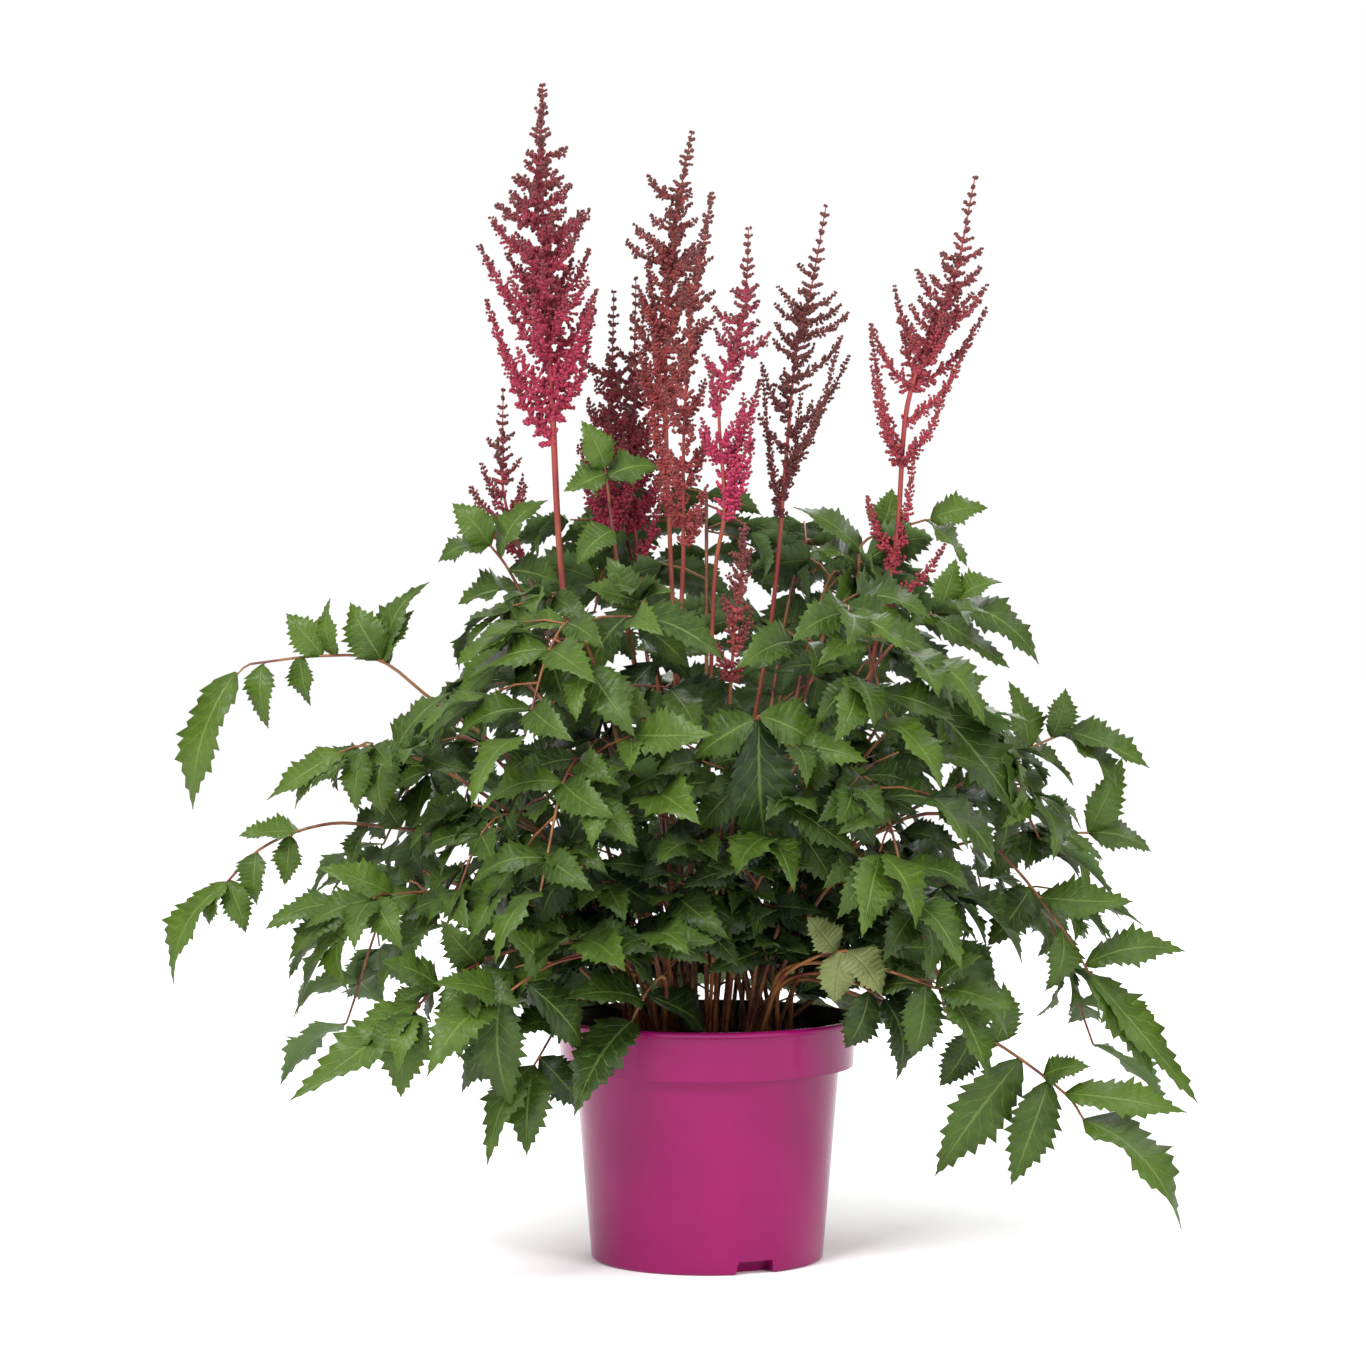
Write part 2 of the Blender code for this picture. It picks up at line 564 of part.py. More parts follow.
def pot_outline():
    """The pot's section, from the lip down its outer side and back up inside."""
    collar_foot = POT_HEIGHT - COLLAR_HEIGHT
    lip_foot = POT_HEIGHT - LIP_THICKNESS
    collar_inside = COLLAR_RADIUS - POT_WALL
    outer = [
        (LIP_RADIUS - LIP_EDGE, POT_HEIGHT), (LIP_RADIUS, POT_HEIGHT - LIP_EDGE),
        (LIP_RADIUS, lip_foot), (COLLAR_RADIUS, lip_foot - LIP_EDGE),
        (COLLAR_RADIUS - COLLAR_DRAFT, collar_foot),
        (BODY_TOP_RADIUS + SHOULDER_STEP, collar_foot - SHOULDER_EDGE),
        (BODY_TOP_RADIUS, collar_foot - SHOULDER_DEPTH),
        (BODY_FOOT_RADIUS, FOOT_CHAMFER), (BODY_FOOT_RADIUS - FOOT_CHAMFER, 0.0), (0.0, 0.0),
    ]
    inner = [
        (0.0, POT_WALL), (BODY_FOOT_RADIUS - POT_WALL, POT_WALL),
        (BODY_TOP_RADIUS - POT_WALL, collar_foot - SHOULDER_DEPTH),
        (collar_inside - COLLAR_DRAFT, collar_foot + POT_WALL),
        (collar_inside, POT_HEIGHT - LIP_EDGE), (collar_inside + LIP_EDGE, POT_HEIGHT),
    ]
    return outer, inner


def turned(name, outline, closed):
    """A solid turned about the Z axis from an outline of (radius, height) in millimetres."""
    mesh = bpy.data.meshes.new(name)
    work = bmesh.new()
    ring = [work.verts.new((r * MM, 0, z * MM)) for r, z in outline]
    pairs = list(zip(ring, ring[1:])) + ([(ring[-1], ring[0])] if closed else [])
    for pair in pairs:
        work.edges.new(pair)
    work.to_mesh(mesh)
    work.free()
    thing = bpy.data.objects.new(name, mesh)
    bpy.context.scene.collection.objects.link(thing)
    screw = thing.modifiers.new("turn", "SCREW")
    screw.steps = POT_SIDES
    screw.render_steps = POT_SIDES
    screw.use_merge_vertices = True
    screw.merge_threshold = 0.00001
    return thing


def make_pot(collection):
    """The moulded pot, with its drainage notches cut through the corner of wall and base."""
    outer, inner = pot_outline()
    thing = turned("pot", outer + inner, True)
    notches = bpy.data.collections.new("notch cutters")
    bpy.context.scene.collection.children.link(notches)
    for index in range(NOTCH_COUNT):
        angle = FIRST_NOTCH_ANGLE + math.tau * index / NOTCH_COUNT
        deep = BODY_TOP_RADIUS - NOTCH_INNER_RADIUS
        bpy.ops.mesh.primitive_cube_add(size=1.0)
        cutter = bpy.context.object
        cutter.name = "notch_cutter_%d" % index
        cutter.data.transform(Matrix.Diagonal((deep * MM, NOTCH_WIDTH * MM, 2 * NOTCH_HEIGHT * MM, 1)))
        cutter.data.transform(Matrix.Translation(((NOTCH_INNER_RADIUS + deep / 2) * MM, 0, 0)))
        cutter.data.transform(Matrix.Rotation(angle, 4, "Z"))
        cutter.hide_render = True
        cutter.display_type = "WIRE"
        for owner in list(cutter.users_collection):
            owner.objects.unlink(cutter)
        notches.objects.link(cutter)
        cut = thing.modifiers.new("notch", "BOOLEAN")
        cut.operation = "DIFFERENCE"
        cut.solver = "EXACT"
        cut.object = cutter
    mesh = baked(thing)
    bpy.data.objects.remove(thing, do_unlink=True)
    for cutter in list(notches.objects):
        bpy.data.objects.remove(cutter, do_unlink=True)
    bpy.data.collections.remove(notches)
    made = new_object("pot", mesh, "pot", collection)
    mesh.shade_smooth()
    mesh.set_sharp_from_angle(angle=math.radians(30))
    return made


def make_compost(collection):
    """The root ball: it fills the pot to below the lip and is a little higher at the crown."""
    shoulder = POT_HEIGHT - COLLAR_HEIGHT - SHOULDER_DEPTH
    inside = POT_WALL + CLEARANCE
    slope = (BODY_TOP_RADIUS - BODY_FOOT_RADIUS) / (shoulder - FOOT_CHAMFER)
    wall_foot = BODY_FOOT_RADIUS - inside - WALL_GAP + slope * NOTCH_HEIGHT
    notch_gap = NOTCH_INNER_RADIUS - NOTCH_GAP
    outline = [
        *SOIL_TOP,
        (COLLAR_RADIUS - inside - COLLAR_GAP, POT_HEIGHT - COLLAR_HEIGHT + COLLAR_GAP_HEIGHT),
        (BODY_TOP_RADIUS - inside - SHOULDER_GAP, shoulder),
        (wall_foot, NOTCH_HEIGHT + NOTCH_GAP_HEIGHT), (notch_gap, NOTCH_HEIGHT),
        (notch_gap - SHOULDER_EDGE, inside), (0.0, inside),
    ]
    thing = turned("root_ball", outline, False)
    mesh = baked(thing)
    bpy.data.objects.remove(thing, do_unlink=True)
    return new_object("root_ball", mesh, "compost", collection)


def tree_of(mesh):
    """A search tree of a mesh's triangles, to test it against another."""
    work = bmesh.new()
    work.from_mesh(mesh)
    tree = BVHTree.FromBMesh(work, epsilon=0.0)
    work.free()
    return tree


def turn_clear(mesh, trees):
    """Turn a leaf or shoot about the pot's axis, as little as it takes to miss the others."""
    for attempt in range(TURN_TRIES):
        step = (attempt + 1) // 2 * (1 if attempt % 2 else -1)
        trial = mesh.copy()
        trial.transform(Matrix.Rotation(step * TURN_STEP, 4, "Z"))
        tree = tree_of(trial)
        if not any(tree.overlap(other) for other in trees):
            trees.append(tree)
            return trial
        bpy.data.meshes.remove(trial)
    trees.append(tree_of(mesh))
    return mesh


def main():
    clear_scene()
    plant = bpy.data.collections.new("astilbe_in_pot")
    bpy.context.scene.collection.children.link(plant)
    pot = make_pot(plant)
    soil = make_compost(plant)
    trees = [tree_of(pot.data), tree_of(soil.data)]
    for name, colour, depth, stalk, plume, florets, points, tips in SHOOTS:
        mesh = shoot_mesh(depth, stalk, plume, florets, points, tips)
        new_object(name, turn_clear(mesh, trees), colour, plant)
    for name, radius, depth, points, rows in SEEN_LEAVES:
        stalk, leaflets = seen_leaf(radius, depth, points, rows)
        mesh = leaf_mesh(stalk, leaflets, leaf_facing(LOOK_AT_VIEWER))
        colour = "yellow_leaf" if name == "leaf_yellowed" else "leaf"
        new_object(name, turn_clear(mesh, trees), colour, plant)
    for name, azimuth, reach, top, end, size in HIDDEN_LEAVES:
        stalk, leaflets = hidden_leaf(azimuth, reach, top, end, size)
        mesh = leaf_mesh(stalk, leaflets, leaf_facing(0.0))
        new_object(name, turn_clear(mesh, trees), "leaf", plant)


main()
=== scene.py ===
"""The looks of a potted astilbe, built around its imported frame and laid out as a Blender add-on.

Metres, +Z up. The pot's axis is the Z axis, and -Y is the side that faced the camera.
"""
import math
import random

import bmesh
import bpy
import numpy as np
from bpy.props import FloatProperty, FloatVectorProperty, IntProperty, PointerProperty
from mathutils import Matrix, Vector, kdtree, noise


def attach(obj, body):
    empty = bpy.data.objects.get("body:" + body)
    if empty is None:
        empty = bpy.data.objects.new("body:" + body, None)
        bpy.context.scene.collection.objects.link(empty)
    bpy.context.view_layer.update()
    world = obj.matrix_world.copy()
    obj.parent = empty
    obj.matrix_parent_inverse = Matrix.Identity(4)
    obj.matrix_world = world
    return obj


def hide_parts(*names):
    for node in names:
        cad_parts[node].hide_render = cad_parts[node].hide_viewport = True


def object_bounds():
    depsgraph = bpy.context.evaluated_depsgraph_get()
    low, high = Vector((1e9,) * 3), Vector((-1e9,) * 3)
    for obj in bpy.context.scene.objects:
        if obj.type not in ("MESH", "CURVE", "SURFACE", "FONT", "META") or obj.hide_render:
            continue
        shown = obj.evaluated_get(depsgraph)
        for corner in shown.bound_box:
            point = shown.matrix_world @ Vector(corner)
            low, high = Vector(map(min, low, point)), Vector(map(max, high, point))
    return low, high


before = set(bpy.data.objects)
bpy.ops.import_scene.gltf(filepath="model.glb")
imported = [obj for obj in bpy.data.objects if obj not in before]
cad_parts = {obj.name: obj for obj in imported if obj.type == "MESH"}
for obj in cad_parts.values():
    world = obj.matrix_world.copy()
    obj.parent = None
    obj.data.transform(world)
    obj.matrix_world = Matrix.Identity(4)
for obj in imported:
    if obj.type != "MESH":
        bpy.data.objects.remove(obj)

bl_info = {
    "name": "Potted astilbe",
    "version": (1, 0, 0),
    "blender": (4, 5, 0),
    "location": "3D View > Sidebar > Astilbe",
    "description": "Builds the pot, compost, leaves and flower plumes of a potted astilbe",
    "category": "Add Mesh",
}

MM = 0.001
FRAME_BOX = [[float(v) for v in corner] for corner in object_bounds()]

# The view that the picture points below were read in, in millimetres and picture points
PICTURE_SIZE = 1366.0
PICTURE_SCALE = 0.62
PICTURE_CENTRE = (683.0, 565.0)
VIEW_DISTANCE = 2500.0
VIEW_X = -15.0
VIEW_Z = 430.0

# How the frame lays out its stalks and leaflets, in millimetres or as shares of a length
CROWN_POINT = (700.0, 1040.0)
DEPTH_CURVE = 0.8
UPRIGHT_FOOT = 8.0
GAP_AT_FOOT = 0.6
LEAFLET_ARCH = 0.08
LEAFLET_FOLD = 0.2
SHOOT_SAMPLES = 18
PLUME_ROUNDNESS = 0.8
GOLDEN_ANGLE = math.radians(137.5)
SOIL_TOP = ((0.0, 138.0), (40.0, 137.0), (86.9, 133.0))

# The frame may have turned a leaf or shoot about the pot's axis by some of these steps
TURN_STEP = math.radians(1.5)
MOST_TURNS = 30

# Leaves seen in the photograph. Each row: name, radius of its foot in the crown (mm), depth of
# its far end (mm, + is away from the viewer), picture points along the stalk, and leaflets as
# (base x, base y, tip x, tip y, width in mm).
SEEN_LEAVES = (
    ("leaf_left_upper_arching", 34, 20,
     ((600, 860), (509, 758), (431, 699), (379, 660), (319, 656), (250, 664)),
     ((236, 672, 192, 810, 34), (262, 664, 268, 729, 20), (300, 656, 310, 706, 18),
      (382, 660, 350, 602, 28), (388, 664, 429, 582, 22), (384, 662, 414, 610, 20),
      (322, 656, 286, 613, 22), (336, 656, 330, 598, 18))),
    ("leaf_left_middle", 40, -60,
     ((590, 880), (500, 806), (430, 764), (370, 746), (340, 752)),
     ((395, 752, 454, 691, 26), (386, 750, 384, 816, 28), (356, 748, 330, 778, 16),
      (346, 750, 294, 809, 24), (340, 752, 266, 800, 22), (366, 748, 357, 812, 20))),
    ("leaf_left_long", 46, -25,
     ((600, 910), (480, 846), (367, 825), (313, 827), (260, 849), (223, 886)),
     ((290, 836, 284, 886, 18), (256, 852, 256, 906, 20), (300, 832, 238, 836, 18),
      (228, 880, 245, 934, 18), (226, 882, 208, 926, 20), (223, 886, 172, 985, 26),
      (367, 825, 348, 874, 20), (400, 828, 372, 790, 20))),
    ("leaf_left_low", 52, -95,
     ((600, 940), (500, 896), (413, 893), (345, 905)),
     ((392, 895, 317, 868, 22), (345, 905, 264, 930, 22), (350, 906, 287, 962, 24),
      (372, 902, 312, 968, 22), (420, 894, 330, 950, 28), (440, 894, 404, 964, 24))),
    ("leaf_front_left", 54, -190,
     ((620, 950), (520, 950), (450, 980), (412, 1011)),
     ((412, 1011, 400, 1100, 30), (410, 1012, 288, 1102, 28), (420, 1004, 340, 1058, 22),
      (440, 988, 380, 962, 22), (456, 978, 458, 1060, 26), (480, 966, 440, 920, 22))),
    ("leaf_front_left_inner", 48, -195,
     ((640, 960), (560, 962), (492, 1004)),
     ((492, 1004, 426, 1078, 28), (500, 1000, 512, 1110, 30), (502, 996, 432, 984, 22),
      (526, 984, 582, 1050, 28), (540, 974, 500, 930, 24))),
    ("leaf_front_centre_left", 42, -170,
     ((645, 975), (590, 1000), (548, 1070)),
     ((548, 1070, 545, 1160, 28), (549, 1068, 508, 1170, 26), (554, 1060, 596, 1110, 24),
      (572, 1028, 524, 1040, 22))),
    ("leaf_over_rim", 50, -140,
     ((668, 980), (652, 990), (636, 1020)),
     ((636, 1022, 580, 1118, 32), (646, 1002, 570, 1000, 24), (650, 996, 704, 1034, 26),
      (656, 988, 616, 950, 24))),
    ("leaf_centre_broad", 22, -150,
     ((712, 900), (722, 800), (738, 716)),
     ((739, 719, 756, 853, 38), (736, 720, 676, 760, 28), (739, 716, 806, 752, 28),
      (724, 786, 684, 830, 26))),
    ("leaf_centre_right", 26, -135,
     ((740, 930), (775, 850), (806, 788)),
     ((808, 788, 876, 848, 38), (804, 790, 770, 862, 30), (806, 786, 838, 740, 26),
      (790, 820, 836, 890, 26))),
    ("leaf_centre_left", 30, -125,
     ((660, 930), (606, 880), (561, 852)),
     ((563, 852, 652, 734, 36), (570, 856, 668, 782, 28), (590, 866, 666, 914, 28),
      (564, 854, 496, 872, 26), (576, 860, 538, 934, 26))),
    ("leaf_upper_centre", 14, -60,
     ((690, 850), (668, 720), (650, 640), (637, 609)),
     ((637, 609, 586, 697, 30), (641, 614, 692, 682, 28), (638, 609, 606, 556, 22),
      (656, 662, 618, 742, 26))),
    ("leaf_right_top", 24, 30,
     ((735, 900), (800, 760), (850, 650), (858, 574), (866, 540), (925, 520)),
     ((862, 552, 793, 507, 24), (930, 520, 988, 508, 22), (926, 520, 967, 566, 26),
      (880, 534, 892, 488, 22), (858, 566, 812, 552, 24))),
    ("leaf_right_upper", 30, -20,
     ((742, 900), (820, 760), (880, 660), (926, 616), (959, 603)),
     ((959, 603, 1039, 664, 28), (930, 614, 1010, 668, 26), (940, 610, 956, 558, 20),
      (906, 634, 938, 704, 24), (955, 604, 1002, 582, 20))),
    ("leaf_left_top", 28, 15,
     ((660, 900), (600, 760), (545, 640), (510, 572), (490, 545)),
     ((490, 545, 438, 562, 24), (491, 546, 452, 503, 22), (500, 558, 548, 500, 24),
      (508, 570, 562, 584, 24), (518, 588, 458, 604, 26))),
    ("leaf_top_inner", 12, -30,
     ((670, 850), (630, 700), (600, 560), (586, 470)),
     ((586, 470, 560, 422, 20), (588, 478, 642, 468, 24), (587, 474, 543, 492, 22),
      (596, 530, 558, 566, 24))),
    ("leaf_right_broad", 32, -70,
     ((745, 920), (830, 800), (890, 730), (930, 704)),
     ((930, 704, 1027, 829, 36), (920, 710, 900, 784, 26), (930, 704, 988, 676, 24),
      (900, 724, 856, 694, 22))),
    ("leaf_right_middle", 38, 45,
     ((755, 930), (880, 830), (960, 785), (1004, 760), (1069, 731)),
     ((1069, 731, 1150, 768, 28), (1062, 734, 1119, 795, 26), (1030, 748, 1009, 681, 24),
      (1052, 738, 1066, 688, 20), (1000, 762, 1040, 816, 24))),
    ("leaf_right_arching", 44, -40,
     ((780, 930), (874, 834), (953, 815), (1009, 861), (1060, 925), (1092, 977)),
     ((1092, 977, 1154, 1077, 30), (1086, 966, 1187, 952, 26), (1090, 974, 1200, 1105, 24),
      (1040, 898, 1134, 902, 26), (1032, 888, 988, 947, 26), (1000, 852, 1000, 793, 22),
      (1062, 928, 1046, 992, 22))),
    ("leaf_right_back", 40, 70,
     ((770, 930), (880, 870), (1000, 836), (1089, 833)),
     ((1089, 833, 1123, 757, 22), (1070, 833, 1037, 795, 20), (1089, 833, 1152, 852, 24),
      (1060, 833, 1086, 894, 22), (1020, 835, 990, 880, 22))),
    ("leaf_right_low", 56, -130,
     ((800, 980), (870, 1000), (930, 1012), (1000, 1046), (1065, 1094), (1085, 1121)),
     ((1022, 1060, 936, 1178, 32), (1050, 1082, 1012, 1188, 28), (1066, 1095, 1189, 1114, 26),
      (1085, 1121, 1184, 1232, 44), (1044, 1078, 1092, 1068, 20), (996, 1044, 1004, 982, 22),
      (975, 1034, 940, 1088, 22))),
    ("leaf_right_dark", 50, -160,
     ((785, 970), (870, 968), (949, 993)),
     ((949, 993, 990, 1083, 28), (940, 990, 1014, 1012, 24), (926, 984, 912, 1060, 24),
      (936, 988, 984, 956, 20))),
    ("leaf_right_of_pot", 58, -120,
     ((780, 985), (830, 975), (880, 1000)),
     ((880, 1000, 893, 1082, 26), (866, 992, 842, 1050, 22), (872, 996, 930, 990, 22))),
    ("leaf_yellowed", 54, -108,
     ((790, 980), (830, 956), (861, 950)),
     ((861, 950, 897, 996, 28), (856, 951, 846, 1004, 22), (850, 952, 820, 916, 22))),
)

# Leaves of the sides and back, which the photograph only hints at: name, azimuth in degrees,
# reach, height of the arch's top and height of its end (mm), and the length of a leaflet (mm).
HIDDEN_LEAVES = (
    ("leaf_back_low_right", 22, 270, 215, 120, 62),
    ("leaf_back_low_right_inner", 52, 262, 225, 130, 60),
    ("leaf_back_low_centre", 84, 280, 230, 125, 64),
    ("leaf_back_low_left_inner", 118, 262, 215, 120, 60),
    ("leaf_back_low_left", 150, 272, 225, 130, 62),
    ("leaf_back_middle_right", 36, 215, 340, 270, 58),
    ("leaf_back_middle_centre_right", 70, 225, 355, 280, 60),
    ("leaf_back_middle_centre_left", 104, 220, 345, 275, 58),
    ("leaf_back_middle_left", 138, 215, 350, 270, 60),
    ("leaf_back_upper_right", 55, 150, 440, 395, 54),
    ("leaf_back_upper_left", 122, 150, 450, 400, 54),
    ("leaf_front_upper_right", -52, 170, 400, 340, 56),
    ("leaf_front_upper_left", -128, 175, 390, 330, 56),
    ("leaf_front_middle_right", -64, 190, 300, 235, 54),
    ("leaf_front_middle_left", -116, 185, 310, 240, 54),
    ("leaf_side_right_middle", -14, 205, 325, 262, 56),
    ("leaf_side_left_middle", 172, 205, 318, 255, 56),
    ("leaf_core_right", 12, 125, 420, 375, 52),
    ("leaf_core_left", -165, 130, 405, 360, 52),
    ("leaf_core_back", 90, 115, 470, 430, 50),
    ("leaf_core_front_left", -152, 185, 275, 215, 52),
    ("leaf_core_front_right", -38, 165, 255, 205, 52),
)

# Flower shoots: name, colour, depth (mm), stalk radius (mm), height in the picture where the
# florets start, how the plume is dressed, picture points from the crown to the tip, the picture
# points of the tips of the side branches, and lesser spikes beside the stalk, each as picture
# points of its foot and tip. A plume's dress is the number of side branches beside the ones here,
# how far they spread (as a share of the widest here), the length in mm of the spikelets at the
# foot of its spire and on its side branches, a floret's radius in mm, and how far its florets are
# out of the bud.
SHOOTS = (
    ("plume_crimson_tall", "crimson", -12, 3.0, 400,
     (34, 0.8, 11.0, 8.0, 1.75, 1.0),
     ((640, 900), (581, 703), (561, 567), (552, 395), (545, 270), (541, 150), (543, 88)),
     ((480, 247), (497, 204), (494, 223), (511, 192), (515, 180), (571, 187), (581, 210),
      (590, 214), (589, 250), (486, 300), (594, 300), (500, 340), (590, 345)),
     ()),
    ("plume_salmon_tall", "salmon", 30, 2.2, 415,
     (30, 0.85, 10.0, 6.5, 1.6, 0.8),
     ((684, 900), (676, 658), (667, 418), (670, 290), (681, 198), (693, 135)),
     ((636, 226), (629, 241), (640, 290), (700, 250), (640, 350), (650, 180), (700, 320)),
     ((668, 470, 642, 300), (668, 430, 650, 250))),
    ("plume_salmon_slim", "salmon", -5, 2.2, 560,
     (26, 1.1, 8.0, 6.5, 1.6, 0.85),
     ((690, 900), (674, 720), (680, 567), (681, 430), (690, 300), (702, 240), (710, 195)),
     ((712, 318), (706, 380), (660, 400), (708, 440), (656, 470), (700, 510)),
     ()),
    ("plume_pink", "pink", -35, 2.0, 480,
     (16, 0.7, 8.0, 6.5, 1.65, 0.95),
     ((705, 900), (712, 597), (723, 509), (718, 400), (740, 330), (745, 280), (747, 230)),
     ((712, 308), (714, 330), (767, 335), (760, 380), (750, 430), (700, 420), (734, 480)),
     ((720, 500, 742, 395), (722, 515, 752, 440))),
    ("plume_maroon", "maroon", 12, 2.2, 500,
     (12, 0.6, 11.0, 4.0, 1.5, 0.6),
     ((720, 900), (768, 640), (784, 475), (795, 357), (810, 291), (825, 208)),
     ((778, 288), (775, 304), (776, 325), (798, 265), (761, 364), (834, 295), (840, 304),
      (847, 316), (841, 338), (848, 356), (820, 400)),
     ((780, 520, 762, 372), (782, 500, 800, 395), (786, 480, 838, 340))),
    ("plume_red_right", "red", 22, 2.4, 400,
     (20, 0.6, 11.0, 5.5, 1.6, 0.85),
     ((742, 900), (840, 780), (871, 647), (892, 540), (904, 400), (945, 298), (969, 183)),
     ((912, 273), (887, 287), (925, 308), (862, 324), (974, 272), (981, 290), (979, 310),
      (870, 370), (960, 350), (940, 390), (911, 440), (861, 497)),
     ((893, 570, 911, 442), (880, 560, 863, 498), (886, 600, 940, 545))),
    ("plume_small_left", "crimson", 35, 1.8, 530,
     (6, 0.7, 7.0, 4.0, 1.5, 0.6),
     ((665, 900), (580, 700), (512, 521), (505, 452), (505, 391)),
     ((472, 488), (488, 478), (526, 487), (490, 440)),
     ((512, 525, 475, 489), (512, 522, 528, 488))),
    ("plume_centre_back_left", "crimson", 55, 2.0, 540,
     (26, 1.1, 7.0, 6.5, 1.65, 0.95),
     ((675, 900), (640, 700), (612, 520), (612, 400), (614, 293)),
     ((580, 360), (588, 400), (640, 380), (582, 440), (640, 450), (590, 490)),
     ()),
    ("plume_centre_back_right", "crimson", 78, 2.0, 540,
     (26, 1.1, 7.0, 6.5, 1.65, 0.9),
     ((682, 900), (660, 700), (634, 520), (634, 400), (636, 280)),
     ((618, 350), (660, 380), (654, 420), (612, 430), (664, 460), (660, 500)),
     ()),
    ("plume_salmon_low", "salmon", -85, 1.8, 690,
     (18, 0.8, 7.0, 6.0, 1.5, 0.8),
     ((716, 900), (726, 760), (735, 624), (743, 555), (744, 525)),
     ((722, 600), (752, 610), (716, 640), (748, 650)),
     ()),
)

# Leaves with few or no extra leaflets, because the photograph shows their stalks bare
BARE_LEAVES = {
    "leaf_left_upper_arching": 0,
    "leaf_left_long": 0,
    "leaf_right_arching": 1,
    "leaf_right_low": 0,
    "leaf_right_top": 1,
    "leaf_left_top": 2,
    "leaf_top_inner": 1,
    "leaf_yellowed": 0,
}


def linear(code):
    """A linear colour from an sRGB hex value."""
    channels = [int(code[i:i + 2], 16) / 255.0 for i in (0, 2, 4)]
    return tuple(c / 12.92 if c <= 0.04045 else ((c + 0.055) / 1.055) ** 2.4 for c in channels)


def darker(colour, share):
    """A colour at a share of its strength."""
    return tuple(c * share for c in colour)


def colour_setting(name, thing, code):
    """A colour that a user may change."""
    return FloatVectorProperty(name=name, description="Colour of the " + thing, size=3,
                               default=linear(code), subtype="COLOR", min=0.0, max=1.0)


def share_setting(name, description, default, most):
    """A share that a user may change."""
    return FloatProperty(name=name, description=description, default=default, min=0.0, max=most,
                         subtype="FACTOR")


def size_setting(name, description, default, least, most):
    """A size that a user may change, given in millimetres."""
    return FloatProperty(name=name, description=description, default=default * MM,
                         min=least * MM, max=most * MM, precision=5, unit="LENGTH")


def count_setting(name, description, default, most):
    """A number of things that a user may change."""
    return IntProperty(name=name, description=description, default=default, min=0, max=most)


class PotSettings(bpy.types.PropertyGroup):
    colour: colour_setting("Plastic", "pot's plastic", "860A55")
    lining: colour_setting("Inner layer", "pot's dark inner layer", "24120F")
    roughness: share_setting("Roughness", "How matt the plastic is", 0.22, 1.0)
    soft_edge: size_setting("Edge radius", "Radius of the moulded edges", 0.35, 0.0, 1.0)


class CompostSettings(bpy.types.PropertyGroup):
    moist: colour_setting("Moist compost", "moist compost", "1A110C")
    fibre: colour_setting("Bark fibre", "fibre in the compost", "4A3222")
    root: colour_setting("Root", "fine roots", "A89A80")
    crumbs: count_setting("Crumbs", "Loose crumbs on the surface", 900, 3000)


class LeafSettings(bpy.types.PropertyGroup):
    # Deep green stands for older leaflets and for the painted shade of those deep inside the
    # foliage, and fresh green for the younger, unshaded ones near its skin
    deep: colour_setting("Deep green", "shaded, older leaflets", "14260C")
    fresh: colour_setting("Fresh green", "younger leaflets", "455C18")
    vein: colour_setting("Veins", "midrib and side veins", "6A7E3C")
    under: colour_setting("Underside", "leaflets' undersides", "4D6534")
    aged: colour_setting("Yellowed leaf", "yellowed leaf", "7E8652")
    stalk_low: colour_setting("Stalk", "leaf stalks", "5E2820")
    stalk_high: colour_setting("Stalk streaks", "tan streaks on the leaf stalks", "84582F")
    thickness: size_setting("Thickness", "Thickness of a leaflet", 0.45, 0.1, 2.0)
    tooth: share_setting("Tooth depth", "Depth of the teeth, as a share of the width", 0.17, 0.4)
    trios: count_setting("Extra leaflets", "Extra groups of three leaflets per leaf", 9, 12)


class PlumeSettings(bpy.types.PropertyGroup):
    crimson: colour_setting("Crimson", "crimson florets", "94203E")
    salmon: colour_setting("Salmon", "salmon florets", "9A3C3E")
    pink: colour_setting("Pink", "pink florets", "A0244B")
    maroon: colour_setting("Maroon", "maroon florets", "60242B")
    red: colour_setting("Red", "red florets", "902E3A")
    bud: colour_setting("Buds", "unopened buds", "582A24")
    stalk: colour_setting("Flower stalks", "flower stalks among the florets", "8A3230")
    stalk_foot: colour_setting("Stalk foot", "flower stalks low down", "8A5630")


class StageSettings(bpy.types.PropertyGroup):
    floor: colour_setting("Floor", "floor", "FFFFFF")
    sky: share_setting("Room light", "Strength of the white light all round", 1.0, 3.0)
    lamps: share_setting("Lamps", "Strength of the soft lamps", 1.0, 3.0)


COLOUR_MIX = {"data_type": "RGBA", "clamp_factor": True}
SMOOTH_STEP = {"interpolation_type": "SMOOTHSTEP"}


def add_node(tree, kind, settings, inputs, out=0):
    """Add a shader node with its settings, set or link its inputs, and return one output."""
    node = tree.nodes.new("ShaderNode" + kind)
    for key, value in settings.items():
        setattr(node, key, value)
    for key, value in inputs.items():
        socket = node.inputs[key]
        if isinstance(value, bpy.types.NodeSocket):
            tree.links.new(value, socket)
        elif isinstance(value, tuple):
            socket.default_value = (*value, 1.0)
        else:
            socket.default_value = value
    return node.outputs[out]


def grain(tree, size, detail=3.0):
    """Soft marks about this many mm across, fixed to the piece's own coordinates."""
    place = add_node(tree, "TexCoord", {}, {}, "Object")
    scale = 1.0 / (size * MM)
    return add_node(tree, "TexNoise", {}, {"Vector": place, "Scale": scale, "Detail": detail})


def patches(tree, dark, light, size, band=(0.35, 0.65), detail=3.0):
    """A colour in soft patches about this many mm across: dark where the marks are below the
    band, and light where they are above it."""
    marks = grain(tree, size, detail)
    share = add_node(tree, "MapRange", SMOOTH_STEP, {0: marks, 1: band[0], 2: band[1]})
    return add_node(tree, "Mix", COLOUR_MIX, {0: share, 6: dark, 7: light}, 2)


